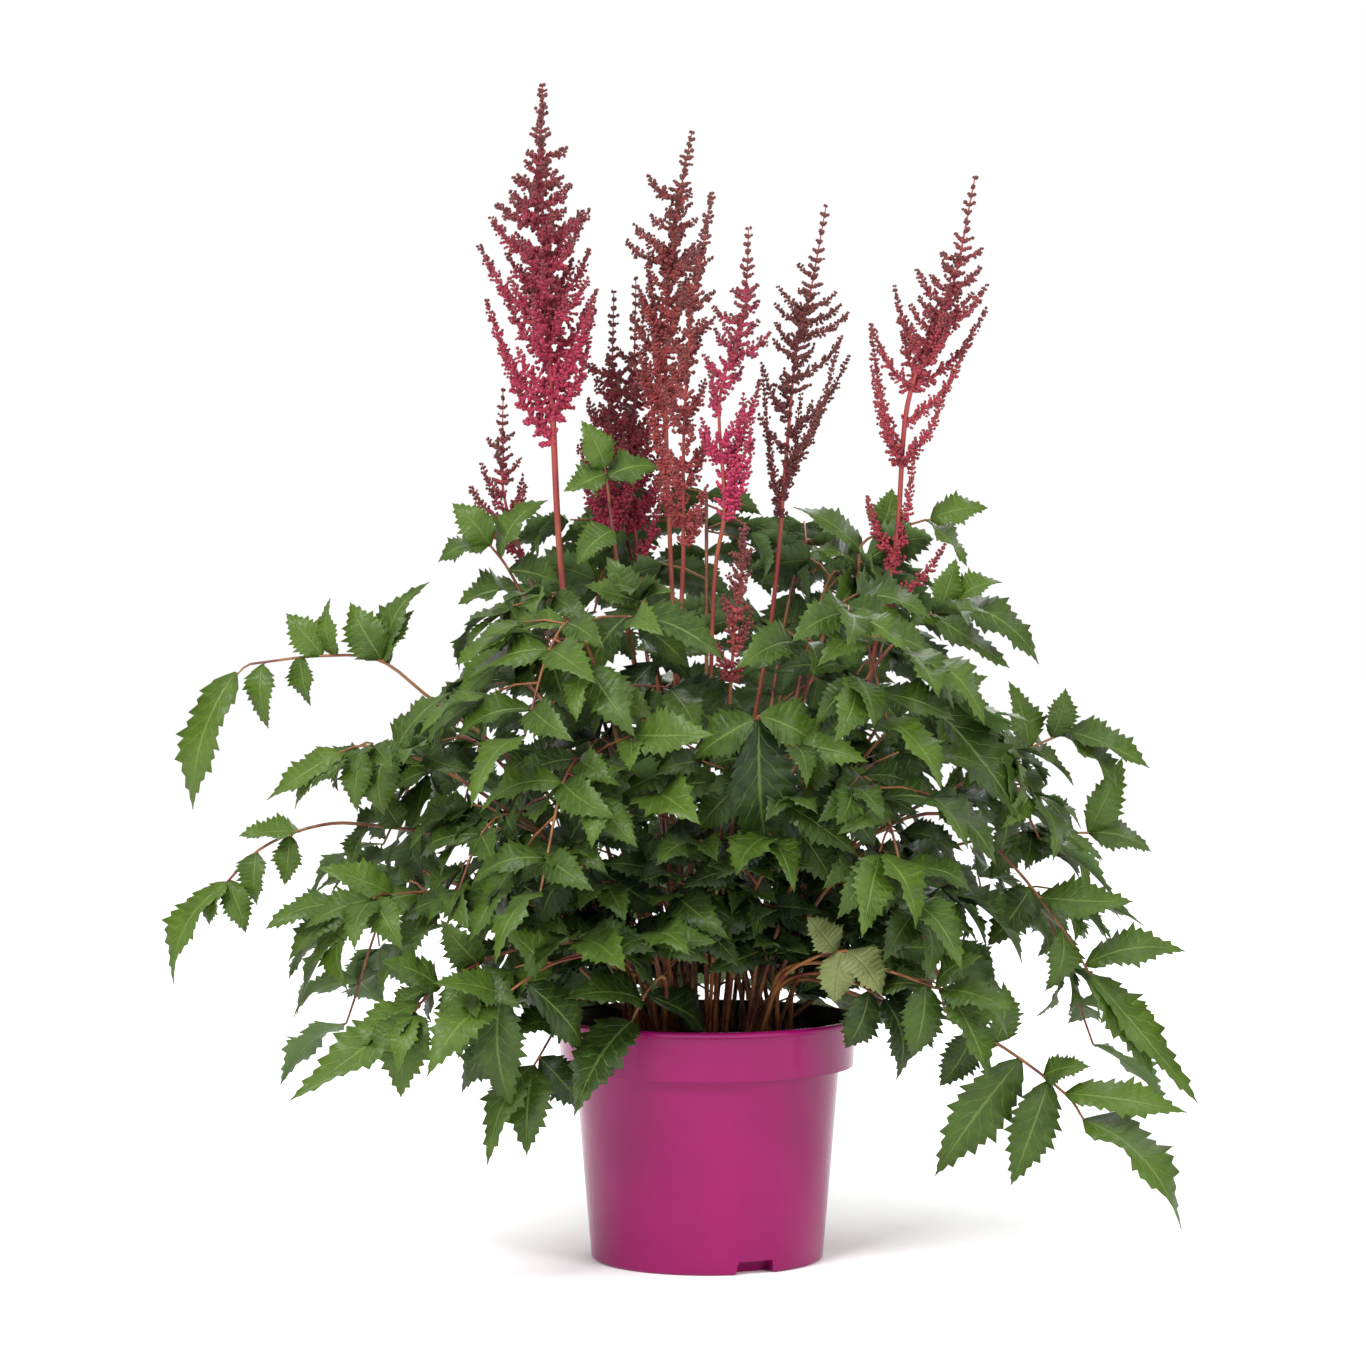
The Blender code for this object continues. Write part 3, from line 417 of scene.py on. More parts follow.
def new_material(name, roughness, ior):
    """A Principled material with its node tree and its shader."""
    made = bpy.data.materials.new(name)
    made.use_nodes = True
    shader = made.node_tree.nodes["Principled BSDF"]
    shader.inputs["Roughness"].default_value = roughness
    shader.inputs["IOR"].default_value = ior
    return made, made.node_tree, shader


def finish_material(tree, shader, colour, height, depth, strength=1.0):
    """Link a shader's colour, and a bump whose height pattern is this many mm deep."""
    tree.links.new(colour, shader.inputs["Base Color"])
    settings = {"Height": height, "Distance": depth * MM, "Strength": strength}
    tree.links.new(add_node(tree, "Bump", {}, settings), shader.inputs["Normal"])


def plain_skin(name, roughness, ior, colours, patch, band, tooth, depth, detail=3.0):
    """A skin of two tones in patches this many mm across, under a tooth this many mm across and
    deep."""
    made, tree, shader = new_material(name, roughness, ior)
    shown = patches(tree, *colours, patch, band, detail)
    finish_material(tree, shader, shown, grain(tree, tooth, detail), depth)
    return made


def worked_out(tree, steps, known):
    """Add the nodes of a pattern's steps, each of which may use what is known by name."""
    for result, operation, *values in steps:
        smooth = operation == "SMOOTHSTEP"
        kind, setting = ("MapRange", "interpolation_type") if smooth else ("Math", "operation")
        inputs = {index: known.get(value, value) for index, value in enumerate(values)}
        known[result] = add_node(tree, kind, {setting: operation}, inputs)
    return known


# The leaf's pattern, from the spot across and along a leaflet: eight pairs of side veins that sweep
# forwards from the midrib and fade towards the margin, and the flesh's age together with the
# painted shade that darkens leaflets deep inside the foliage
LEAF_STEPS = (
    ("from_rib", "MULTIPLY_ADD", "across", 2.0, -1.0),
    ("off_rib", "ABSOLUTE", "from_rib"),
    ("sweep", "MULTIPLY", "off_rib", -1.7),
    ("vein_count", "MULTIPLY_ADD", "along", 8.0, "sweep"),
    ("between", "FRACT", "vein_count"),
    ("from_vein", "SUBTRACT", "between", 0.5),
    ("off_vein", "ABSOLUTE", "from_vein"),
    ("side_veins", "SMOOTHSTEP", "off_vein", 0.10, 0.0),
    ("inner", "SMOOTHSTEP", "off_rib", 1.0, 0.5),
    ("inner_veins", "MULTIPLY", "side_veins", "inner"),
    ("faint_veins", "MULTIPLY", "inner_veins", 0.55),
    ("midrib", "SMOOTHSTEP", "off_rib", 0.09, 0.01),
    ("veins", "MAXIMUM", "midrib", "faint_veins"),
    ("mottle", "MULTIPLY_ADD", "marks", 0.9, -0.45),
    ("towards_tip", "MULTIPLY_ADD", "along", 0.3, "mottle"),
    ("age", "ADD", "tint", "towards_tip"),
    ("pale_veins", "MULTIPLY", "veins", "vein_share"),
    ("blisters", "MULTIPLY", "small_marks", 0.6),
    ("relief", "MULTIPLY_ADD", "veins", -0.8, "blisters"),
)


def leaf_side(name, deep, fresh, vein, roughness, vein_share):
    """Living leaf: a waxy skin, satin above and duller below, sunk at its veins, with blistered
    flesh between them. The tint attribute makes each leaflet a little older or younger at random,
    and carries painted shade that darkens the leaflets deep inside the foliage."""
    made, tree, shader = new_material(name, roughness, 1.42)
    shader.inputs["Specular IOR Level"].default_value = 0.35
    spot = add_node(tree, "UVMap", {"uv_map": "leaf"}, {})
    known = worked_out(tree, LEAF_STEPS, {
        "across": add_node(tree, "SeparateXYZ", {}, {0: spot}, "X"),
        "along": add_node(tree, "SeparateXYZ", {}, {0: spot}, "Y"),
        "tint": add_node(tree, "Attribute", {"attribute_name": "tint"}, {}, "Fac"),
        "marks": grain(tree, 9.0), "small_marks": grain(tree, 2.4), "vein_share": vein_share})
    # The flesh goes from deep to fresh green by its age and by the painted shade deep inside the
    # foliage
    flesh = add_node(tree, "Mix", COLOUR_MIX, {0: known["age"], 6: deep, 7: fresh}, 2)
    shown = add_node(tree, "Mix", COLOUR_MIX, {0: known["pale_veins"], 6: flesh, 7: vein}, 2)
    finish_material(tree, shader, shown, known["relief"], 0.5)
    return made


def leaf_stalk(low, high):
    """Leaf stalk: a smooth living skin, streaked red-brown and tan along its run."""
    return plain_skin("leaf_stalk", 0.42, 1.42, (low, high), 16.0, (0.35, 0.65), 1.2, 0.15)


# Heights in metres between which the flower stalks turn from tan to red
RED_STALK_FROM = (0.32, 0.55)


def flower_stalk(brown, tan, red):
    """Flower stalk: a smooth living skin, tan streaked with brown low down, where it has begun to
    turn woody, and red among the florets."""
    made, tree, shader = new_material("flower_stalk", 0.42, 1.42)
    place = add_node(tree, "TexCoord", {}, {}, "Object")
    height = add_node(tree, "SeparateXYZ", {}, {0: place}, "Z")
    known = worked_out(tree, (("share", "SMOOTHSTEP", height, *RED_STALK_FROM),), {})
    woody = patches(tree, brown, tan, 25.0)
    shown = add_node(tree, "Mix", COLOUR_MIX, {0: known["share"], 6: woody, 7: red}, 2)
    finish_material(tree, shader, shown, grain(tree, 1.2), 0.15)
    return made


def floret_skin(name, open_colour, bud_colour):
    """Florets: papery petals and beaded buds, dull and slightly downy, darker where unopened."""
    made, tree, shader = new_material(name, 0.62, 1.4)
    shader.inputs["Sheen Weight"].default_value = 0.06
    steps = (("uneven", "MULTIPLY_ADD", "marks", 1.2, -0.6), ("bloom", "ADD", "tint", "uneven"))
    tint = add_node(tree, "Attribute", {"attribute_name": "tint"}, {}, "Fac")
    known = worked_out(tree, steps, {"tint": tint, "marks": grain(tree, 2.5)})
    inputs = {0: known["bloom"], 6: bud_colour, 7: open_colour}
    shown = add_node(tree, "Mix", COLOUR_MIX, inputs, 2)
    finish_material(tree, shader, shown, grain(tree, 0.8), 0.3)
    return made


def moulded_plastic(name, colour, roughness):
    """Injection-moulded polypropylene: one even colour with a satin gloss that varies a little, and
    a very slight waviness of the wall. The inner layer is of dark reclaimed plastic."""
    made, tree, shader = new_material(name, roughness, 1.49)
    shader.inputs["Specular IOR Level"].default_value = 0.26
    steps = (("gloss", "MULTIPLY_ADD", grain(tree, 25.0), 0.06, roughness - 0.03),)
    tree.links.new(worked_out(tree, steps, {})["gloss"], shader.inputs["Roughness"])
    shown = patches(tree, darker(colour, 0.86), colour, 60.0, (0.3, 0.7))
    finish_material(tree, shader, shown, grain(tree, 30.0, 1.0), 0.25, 0.5)
    return made


def moist_compost(moist, fibre):
    """Compost: moist crumbs that are nearly black, with brown bark fibre among them."""
    return plain_skin("moist_compost", 0.9, 1.4, (moist, fibre), 3.0, (0.45, 0.75), 2.0, 1.2, 8.0)


def fine_root(colour):
    """Fine roots: pale dry threads with a dull skin."""
    tones = (darker(colour, 0.7), colour)
    return plain_skin("fine_root", 0.7, 1.4, tones, 4.0, (0.2, 0.8), 0.6, 0.1)


def painted_board(colour):
    """Studio floor: a matt painted board with a faint tooth."""
    tones = (darker(colour, 0.995), colour)
    return plain_skin("matt_painted_board", 0.9, 1.4, tones, 400.0, (0.2, 0.8), 2.0, 0.05)


def black_card():
    """Studio board: matt black card with a faint tooth."""
    tones = (linear("141414"), linear("1C1C1C"))
    return plain_skin("black_card", 0.9, 1.4, tones, 40.0, (0.2, 0.8), 2.0, 0.05)


def once(name, maker, *values):
    """The named material, made the first time that it is asked for."""
    return bpy.data.materials.get(name) or maker(*values)


def linked(name, data):
    """A new object in the scene that shows this mesh or curve, or is this lamp or camera."""
    made = bpy.data.objects.new(name, data)
    bpy.context.scene.collection.objects.link(made)
    return made


def add_object(name, mesh, *materials):
    """Put a mesh in the scene as an object with its materials."""
    for item in materials:
        mesh.materials.append(item)
    return linked(name, mesh)


def baked(thing):
    """The plain mesh that an object shows once its modifiers or bevel have run. The object goes."""
    bpy.context.view_layer.update()
    graph = bpy.context.evaluated_depsgraph_get()
    mesh = bpy.data.meshes.new_from_object(thing.evaluated_get(graph))
    bpy.data.objects.remove(thing, do_unlink=True)
    return mesh


def joined(base, other):
    """Two objects as one piece that keeps both their materials."""
    with bpy.context.temp_override(active_object=base, object=base, selected_objects=[base, other],
                                   selected_editable_objects=[base, other]):
        bpy.ops.object.join()
    return base


def declare(piece, slot, *nodes):
    """Hand a finished piece to the frame and hide the CAD nodes that it stands for. Its finish is
    not used.
    """
    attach(piece, "root")
    if nodes:
        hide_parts(*nodes)


def colours_of(settings, *names):
    """These colours of the settings, as plain tuples."""
    return [tuple(getattr(settings, name)) for name in names]


def picture_point(x, y, depth):
    """The place of a picture point that lies this deep (mm) behind the pot's axis."""
    spread = PICTURE_SCALE * (VIEW_DISTANCE + depth) / VIEW_DISTANCE
    across = VIEW_X + (x - PICTURE_CENTRE[0]) * spread
    height = VIEW_Z - (y - PICTURE_CENTRE[1]) * spread
    return Vector((across, depth, height)) * MM


def smooth_path(points, count):
    """Points spaced along a Catmull-Rom curve through the given points."""
    ends = [points[0] * 2 - points[1]] + list(points) + [points[-1] * 2 - points[-2]]
    path = []
    spans = len(points) - 1
    for step in range(count):
        place = step * spans / (count - 1)
        span = min(int(place), spans - 1)
        t = place - span
        a, b, c, d = ends[span:span + 4]
        path.append(0.5 * (2 * b + (c - a) * t + (2 * a - 5 * b + 4 * c - d) * t * t
                           + (3 * b - a - 3 * c + d) * t ** 3))
    return path


def along_path(path, share):
    """The place at a share of a path's steps, and the way onwards from there."""
    place = share * (len(path) - 1)
    index = min(int(place), len(path) - 2)
    here, onward = path[index:index + 2]
    return here.lerp(onward, place - index), (onward - here).normalized()


def at_height(path, height):
    """The place on a path that is nearest to a height."""
    return min(path, key=lambda place: abs(place.z - height))


def stalk_path(nodes, count):
    """A stalk's run: upright out of the compost, then a smooth curve through its nodes."""
    foot = nodes[0]
    risen = foot + Vector((0, 0, UPRIGHT_FOOT * MM))
    return [foot] + smooth_path([risen] + list(nodes[1:]), count)


def soil_height(radius):
    """Height of the compost's surface at a distance from the axis, in millimetres."""
    for (r0, z0), (r1, z1) in zip(SOIL_TOP, SOIL_TOP[1:]):
        if radius <= r1:
            return z0 + (z1 - z0) * (radius - r0) / (r1 - r0)
    return SOIL_TOP[-1][1]


def crown_foot(radius, azimuth):
    """Where a stalk leaves the compost."""
    level = soil_height(radius) + GAP_AT_FOOT
    return Vector((radius * math.cos(azimuth), radius * math.sin(azimuth), level)) * MM


def seen_leaf(radius, far_depth, points, rows):
    """Stalk and leaflets of a leaf laid out by its picture points."""
    everything = list(points) + [row[2:4] for row in rows]
    farthest = max(math.dist(CROWN_POINT, point) for point in everything)

    def placed(x, y):
        share = (math.dist(CROWN_POINT, (x, y)) / farthest) ** DEPTH_CURVE
        return picture_point(x, y, far_depth * share)

    end = placed(*points[-1])
    azimuth = math.atan2(end.y, end.x)
    stalk = [crown_foot(radius, azimuth)] + [placed(*point) for point in points]
    leaflets = [(placed(*row[:2]), placed(*row[2:4]), row[4]) for row in rows]
    return stalk, leaflets


# How a leaf of the sides or back grows: where it stands in the crown (mm, and a share of its
# reach), its arch as shares of its reach and rise, the steps of its run, and the steps and relative
# sizes of its pairs of leaflets
HIDDEN_FOOT = (16, 0.14)
HIDDEN_ARCH = ((0.3, 0.66), (0.62, 1.0), (0.82, 0.97))
HIDDEN_STEPS = 31
HIDDEN_PAIRS = ((28, 0.9), (23, 1.0), (18, 0.8))
END_LEAFLET_LENGTH = 1.15
END_LEAFLET_WIDTH = 0.45
PAIR_WIDTH = 0.42


def hidden_leaf(azimuth, reach, top, end, size):
    """Stalk and leaflets of a leaf that arches out at an azimuth."""
    angle = math.radians(azimuth)
    out = Vector((math.cos(angle), math.sin(angle), 0))
    side = Vector((-out.y, out.x, 0))
    lift = Vector((0, 0, 1))
    foot_radius = HIDDEN_FOOT[0] + reach * HIDDEN_FOOT[1]
    ground = soil_height(foot_radius)
    stalk = [crown_foot(foot_radius, angle)]
    for share, height in (*HIDDEN_ARCH, (1.0, (end - ground) / (top - ground))):
        across = out * (foot_radius + (reach - foot_radius) * share)
        stalk.append((across + lift * (ground + (top - ground) * height)) * MM)
    path = smooth_path(stalk, HIDDEN_STEPS)
    onwards = (out * 0.75 - lift * 0.62) * size * END_LEAFLET_LENGTH * MM
    leaflets = [(path[-1], path[-1] + onwards, size * END_LEAFLET_WIDTH)]
    for station, spread in HIDDEN_PAIRS:
        for hand in (-1, 1):
            reachwards = out * 0.35 + side * hand - lift * 0.38
            tip = path[station] + reachwards.normalized() * size * spread * MM
            leaflets.append((path[station], tip, size * PAIR_WIDTH * spread))
    return stalk, leaflets


def turn_in_frame(node, tips):
    """The turn about the Z axis that the frame gave a leaf or shoot to miss its neighbours."""
    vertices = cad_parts[node].data.vertices
    tree = kdtree.KDTree(len(vertices))
    for vertex in vertices:
        tree.insert(vertex.co, vertex.index)
    tree.balance()

    def misfit(steps):
        turn = Matrix.Rotation(steps * TURN_STEP, 3, "Z")
        return sum(tree.find(turn @ tip)[2] for tip in tips)

    return Matrix.Rotation(min(range(-MOST_TURNS, MOST_TURNS + 1), key=misfit) * TURN_STEP, 3, "Z")


def tubes(runs):
    """One mesh of round stalks, each a run of (place, radius in mm)."""
    curve = bpy.data.curves.new("stalks", "CURVE")
    curve.dimensions = "3D"
    curve.bevel_depth = MM
    curve.bevel_resolution = 1
    curve.use_fill_caps = True
    for run in runs:
        spline = curve.splines.new("POLY")
        spline.points.add(len(run) - 1)
        for target, (place, radius) in zip(spline.points, run):
            target.co = (*place, 1.0)
            target.radius = radius
    mesh = baked(linked("stalks", curve))
    mesh.shade_smooth()
    return mesh


def pattern_of(operator, **settings):
    """Vertices and faces of a small shape that a bmesh operator makes, to be copied many times."""
    work = bmesh.new()
    operator(work, **settings)
    work.verts.index_update()
    places = np.array([vertex.co[:] for vertex in work.verts])
    faces = np.array([[vertex.index for vertex in face.verts] for face in work.faces])
    work.free()
    return places, faces


class Pile:
    """Copies of a small shape, piled into one mesh with a tint for each copy."""

    def __init__(self, faces):
        self.faces = faces
        self.places = []
        self.tints = []
        self.spots = []

    def add(self, places, tint, spots=None):
        """Add one copy: its vertices, its tint and its vertices' spots on the leaf pattern."""
        self.places.append(places)
        self.tints.append(np.full(len(places), tint))
        self.spots.append(np.zeros((len(places), 2)) if spots is None else spots)

    def mesh(self, name):
        """The pile as a mesh with a tint attribute and a leaf UV map."""
        made = bpy.data.meshes.new(name)
        step = len(self.places[0])
        faces = np.concatenate([self.faces + step * i for i in range(len(self.places))])
        made.from_pydata(np.concatenate(self.places).tolist(), [], faces.tolist())
        tint = made.attributes.new("tint", "FLOAT", "POINT")
        tint.data.foreach_set("value", np.concatenate(self.tints).astype(np.float32))
        layer = made.uv_layers.new(name="leaf")
        corners = np.zeros(len(made.loops), dtype=np.int32)
        made.loops.foreach_get("vertex_index", corners)
        layer.data.foreach_set("uv", np.concatenate(self.spots)[corners].ravel().astype(np.float32))
        made.shade_smooth()
        return made


# A leaflet's outline: the powers that round its base and draw out its tip, the ends of its length
# that keep a little width, and how far the margin stands out at each row of a pair of teeth: a
# large tooth, a notch, a small tooth and a notch. Teeth lean forwards by a share of a row.
LEAFLET_ROWS = 24
BASE_ROUNDNESS = 0.75
TIP_SHARPNESS = 1.32
BLUNT_ENDS = (0.004, 0.994)
DOUBLE_TEETH = np.array([1.35, -0.8, 0.4, -0.6])
TOOTH_LEAN = 0.85

# How unevenly leaflets grow: shares of the usual arch and fold, waves along the margin in radians,
# the depth of those waves as a share of the half-width, twist in radians and bow as a share of
# the length
ARCH_RANGE = (0.5, 2.4)
FOLD_RANGE = (0.3, 2.4)
WAVE_RANGE = (9, 16)
WAVE_OFFSET = 1.6
WAVE_DEPTH = 0.22
MOST_TWIST = 0.55
UNTWISTED_AT = 0.3
MOST_BOW = 0.06

# The rough dome that the foliage fills (centre height and half-sizes in metres): leaflets deep
# inside it get painted shade and are darker, and those near its skin are lighter and fresh
DOME_HEIGHT = 0.2
DOME_SIZE = (0.27, 0.24, 0.30)
PAINTED_SHADE_WITHIN = 0.6


def youth_and_painted_shade(place, rng):
    """How light a leaflet is, from 0 to 1: a little by its age at random, and mostly by painted
    shade that darkens it the deeper inside the foliage it grows.
    """
    x, y, z = place.x / DOME_SIZE[0], place.y / DOME_SIZE[1], (place.z - DOME_HEIGHT) / DOME_SIZE[2]
    outwards = math.sqrt(x * x + y * y + z * z)
    return min(1.0, max(0.0, 0.5 * rng.random() ** 1.5 + 1.1 * (outwards - PAINTED_SHADE_WITHIN)))


def leaflet_outline(along):
    """Half-width of a leaflet along its length: a rounded base, widest at two fifths, and a
    drawn-out tip."""
    widest = BASE_ROUNDNESS / (BASE_ROUNDNESS + TIP_SHARPNESS)
    most = widest ** BASE_ROUNDNESS * (1 - widest) ** TIP_SHARPNESS
    return np.power(along, BASE_ROUNDNESS) * np.power(1.0 - along, TIP_SHARPNESS) / most


def add_leaflet(pile, flat, base, tip, width, facing, tooth, rng):
    """A toothed leaflet from base to tip: folded at its midrib, arched, twisted and rippled."""
    u = flat[:, 0]
    v = (flat[:, 1] + 1.0) / 2.0
    row = np.rint(v * LEAFLET_ROWS)
    on_margin = (np.abs(u) > 0.99) & (row > 0) & (row < LEAFLET_ROWS)
    teeth = DOUBLE_TEETH[row.astype(int) % len(DOUBLE_TEETH)]
    margin = 1.0 + np.where(on_margin, tooth * teeth, 0.0)
    forward = np.where(on_margin, np.clip(teeth, 0.0, 1.0) * TOOTH_LEAN / LEAFLET_ROWS, 0.0)
    share = np.clip(v + forward, 0.0, 1.0)
    half = leaflet_outline(np.clip(v, *BLUNT_ENDS)) * width * MM / 2 * margin
    length = (tip - base).length
    along = (tip - base).normalized()
    across = along.cross(facing).normalized()
    out = across.cross(along)
    hump = 4 * share * (1 - share)
    arch = LEAFLET_ARCH * rng.uniform(*ARCH_RANGE) * length * hump
    fold = LEAFLET_FOLD * rng.uniform(*FOLD_RANGE) * np.abs(u) * half
    phase = share * rng.uniform(*WAVE_RANGE) + rng.uniform(0, math.tau)
    ripple = WAVE_DEPTH * half * np.sin(phase + WAVE_OFFSET * np.sign(u)) * u * u
    twist = rng.uniform(-MOST_TWIST, MOST_TWIST) * (share - UNTWISTED_AT)
    bow = rng.uniform(-MOST_BOW, MOST_BOW) * length * hump
    sideways = u * half * np.cos(twist) + bow
    upwards = arch + fold + ripple + u * half * np.sin(twist)
    places = (np.array(base) + np.outer(share * length, along) + np.outer(sideways, across)
              + np.outer(upwards, out))
    pile.add(places, youth_and_painted_shade(tip, rng), np.stack([(u + 1) / 2, v], axis=1))


# How far a leaflet's face looks up and outwards, and how unevenly
LOOK_UP = 0.6
LOOK_OUT = 0.95
UNEVEN_LOOK = 0.25


def leaf_facing(base, tip, towards_viewer, rng):
    """Which way a leaflet's upper face looks, a little uneven. Those that don't look towards the
    viewer look more outwards from the plant."""
    middle = (base + tip) / 2
    outward = Vector((middle.x, middle.y, 0))
    if outward.length > 0:
        outward.normalize()
    look = Vector((0, -towards_viewer, LOOK_UP)) + outward * (LOOK_OUT - towards_viewer)
    uneven = [rng.uniform(-UNEVEN_LOOK, UNEVEN_LOOK) for axis in range(2)]
    return (look.normalized() + Vector((*uneven, 0))).normalized()


# How the extra groups of three leaflets grow: along how much of the leaf's run, crowded towards
# its foot by this power, on side stalks that swing, lean ahead and tilt by these shares, as long
# as these shares of a leaflet. Turns are in radians, sizes are shares of a leaflet, and radii and
# the leaflet's own stalk are in mm.
TRIES_PER_TRIO = 4
TRIO_START = 0.06
TRIO_SPAN = 0.88
TRIO_JITTER = 0.6
TRIO_CROWDING = 1.25
TRIO_SWING = 0.7
TRIO_LEAN = (0.2, 0.8)
TRIO_TILT = 0.3
TRIO_STALK = (0.4, 0.7)
TRIO_SPREAD = (0.7, 1.1)
TRIO_SIDE_SIZE = 0.8
TRIO_DROOP = (0.3, 0.95)
TRIO_LENGTHS = (0.85, 1.1)
TRIO_WIDTHS = (0.42, 0.52)
TRIO_SAG = 0.04
TRIO_RADII = (0.8, 0.7, 0.6)
LEAFLET_STALK = 2.5


def add_trio(path, share, hand, size, rng):
    """A side stalk of a leaf with three more leaflets: its run, and the leaflets."""
    spot, ahead = along_path(path, share)
    side = ahead.cross(Vector((0, 0, 1)))
    side = side.normalized() if side.length > 0.1 else Vector((1, 0, 0))
    side.rotate(Matrix.Rotation(rng.uniform(-TRIO_SWING, TRIO_SWING), 3, "Z"))
    heading = (side * hand + ahead * rng.uniform(*TRIO_LEAN)
               + Vector((0, 0, rng.uniform(-TRIO_TILT, TRIO_TILT))))
    heading.normalize()
    fork = spot + heading * size * rng.uniform(*TRIO_STALK) * MM
    least, most = TRIO_SPREAD
    turns = (0.0, rng.uniform(least, most), rng.uniform(-most, -least))
    leaflets = []
    for angle, scale in zip(turns, (1.0, TRIO_SIDE_SIZE, TRIO_SIDE_SIZE)):
        way = Matrix.Rotation(angle, 3, "Z") @ heading
        way.z -= rng.uniform(*TRIO_DROOP)
        way.normalize()
        length = size * scale * rng.uniform(*TRIO_LENGTHS)
        start = fork + way * LEAFLET_STALK * MM
        leaflets.append((start, start + way * length * MM, length * rng.uniform(*TRIO_WIDTHS)))
    bend = spot.lerp(fork, 0.5) + Vector((0, 0, TRIO_SAG * size * MM))
    return list(zip((spot, bend, fork), TRIO_RADII)), leaflets


# Where an extra leaflet may end, in metres: this far inside the frame's box, above the floor,
# outside the pot or above its lip, and not in front of the rim that the photograph shows
BOX_MARGIN = 0.004
LOWEST_TIP = 0.06
POT_ROOM = (0.105, 0.155)
RIM_VIEW = (0.1, 0.185)


def inside_frame(place):
    """Whether a place is inside the frame's box and clear of the floor, the pot and its rim."""
    low, high = FRAME_BOX
    inside = all(low[i] + BOX_MARGIN < place[i] < high[i] - BOX_MARGIN for i in range(3))
    clear_of_pot = place.z > POT_ROOM[1] or math.hypot(place.x, place.y) > POT_ROOM[0]
    before_rim = place.y < 0 and abs(place.x) < RIM_VIEW[0] and place.z < RIM_VIEW[1]
    return inside and clear_of_pot and not before_rim and place.z > LOWEST_TIP


# Radii in mm of a leaf's stalk at its foot, which tapers by this share, and of a leaflet's stalk
# along its run, the steps of the leaf's stalk, and how much less its extra leaflets turn to the
# viewer
LEAF_STALK_RADIUS = 1.5
LEAF_STALK_TAPER = 0.5
SIDE_STALK_RADII = (0.75, 0.65, 0.5)
LEAF_STALK_STEPS = 26
EXTRA_TOWARDS_VIEWER = 0.7


def build_leaf(name, stalk, leaflets, towards_viewer, trios, sizes, skins, settings):
    """One compound leaf: its stalk, short side stalks and toothed leaflets."""
    turn = turn_in_frame(name, [tip for base, tip, width in leaflets])
    rng = random.Random(name)
    path = stalk_path([turn @ place for place in stalk], LEAF_STALK_STEPS)
    last = len(path) - 1
    runs = [[(place, LEAF_STALK_RADIUS * (1 - LEAF_STALK_TAPER * index / last))
             for index, place in enumerate(path)]]
    placed = []
    for base, tip, width in leaflets:
        base, tip = turn @ base, turn @ tip
        root = min(path[last // 4:], key=lambda spot: (spot - base).length)
        places = (root, root.lerp(base, 0.5), base.lerp(tip, 0.04))
        runs.append(list(zip(places, SIDE_STALK_RADII)))
        placed.append((base, tip, width, towards_viewer))
    for index in range(trios):
        for attempt in range(TRIES_PER_TRIO):
            crowded = ((index + TRIO_JITTER * rng.random()) / trios) ** TRIO_CROWDING
            hand = 1 if index % 2 else -1
            run, group = add_trio(path, TRIO_START + TRIO_SPAN * crowded, hand,
                                  rng.uniform(*sizes), rng)
            if all(inside_frame(tip) for base, tip, width in group):
                runs.append(run)
                placed += [(*leaflet, towards_viewer * EXTRA_TOWARDS_VIEWER) for leaflet in group]
                break
    flat, faces = pattern_of(bmesh.ops.create_grid, x_segments=2, y_segments=LEAFLET_ROWS, size=1.0)
    pile = Pile(faces)
    for base, tip, width, look in placed:
        facing = leaf_facing(base, tip, look, rng)
        add_leaflet(pile, flat, base, tip, width, facing, settings.tooth, rng)
    upper, under, bark = skins
    blades = add_object(name + "_blades", pile.mesh(name + "_blades"), upper, under)
    body = blades.modifiers.new("thickness", "SOLIDIFY")
    body.thickness = settings.thickness
    body.offset = -1.0
    body.material_offset = 1
    leaf = add_object(name + "_looks", baked(blades))
    return joined(leaf, add_object(name + "_stalks", tubes(runs), bark))


def swung_tips(path, depth, tips):
    """Tips of the side branches, swung to the front and back in turn, with their spreads."""
    made = []
    for index, (x, y) in enumerate(tips):
        tip = picture_point(x, y, depth)
        spread = abs(tip.x - at_height(path, tip.z).x)
        tip.y += PLUME_ROUNDNESS * spread * math.sin(GOLDEN_ANGLE * index)
        made.append((tip, spread))
    return made


# Spacing in mm of the spikelets on a spire and on its side branches. The buds on the spires are
# plumper than the florets, and the stalks slimmer than the frame's plain ones, by these shares.
# Side branches stop part of the way up the spire, above which it carries only short spikelets.
SPIRE_SPACING = 5.2
TWIG_SPACING = 2.6
SPIRE_PLUMPNESS = 1.3
STALK_SLIMNESS = 0.65
BARE_SPIRE_FROM = 0.7
DRESSED_SPIRE_FROM = 0.25
# The power by which plumes and branches narrow to their tips
NARROWING = 0.8

# How a spikelet's florets taper, vary and open, as shares from its foot to its tip
TWIG_LENGTHS = (0.75, 1.15)
FLORET_SIZES = (0.8, 1.15)
FLORET_STRETCH = (0.8, 1.25)
FLORET_SPACING = 1.05
TAPER_OUTWARDS = 0.3
TAPER_UPWARDS = 0.25
UNEVEN_TINT = 0.2
UNOPENED_TIPS = 0.3
UNOPENED_END = 0.5


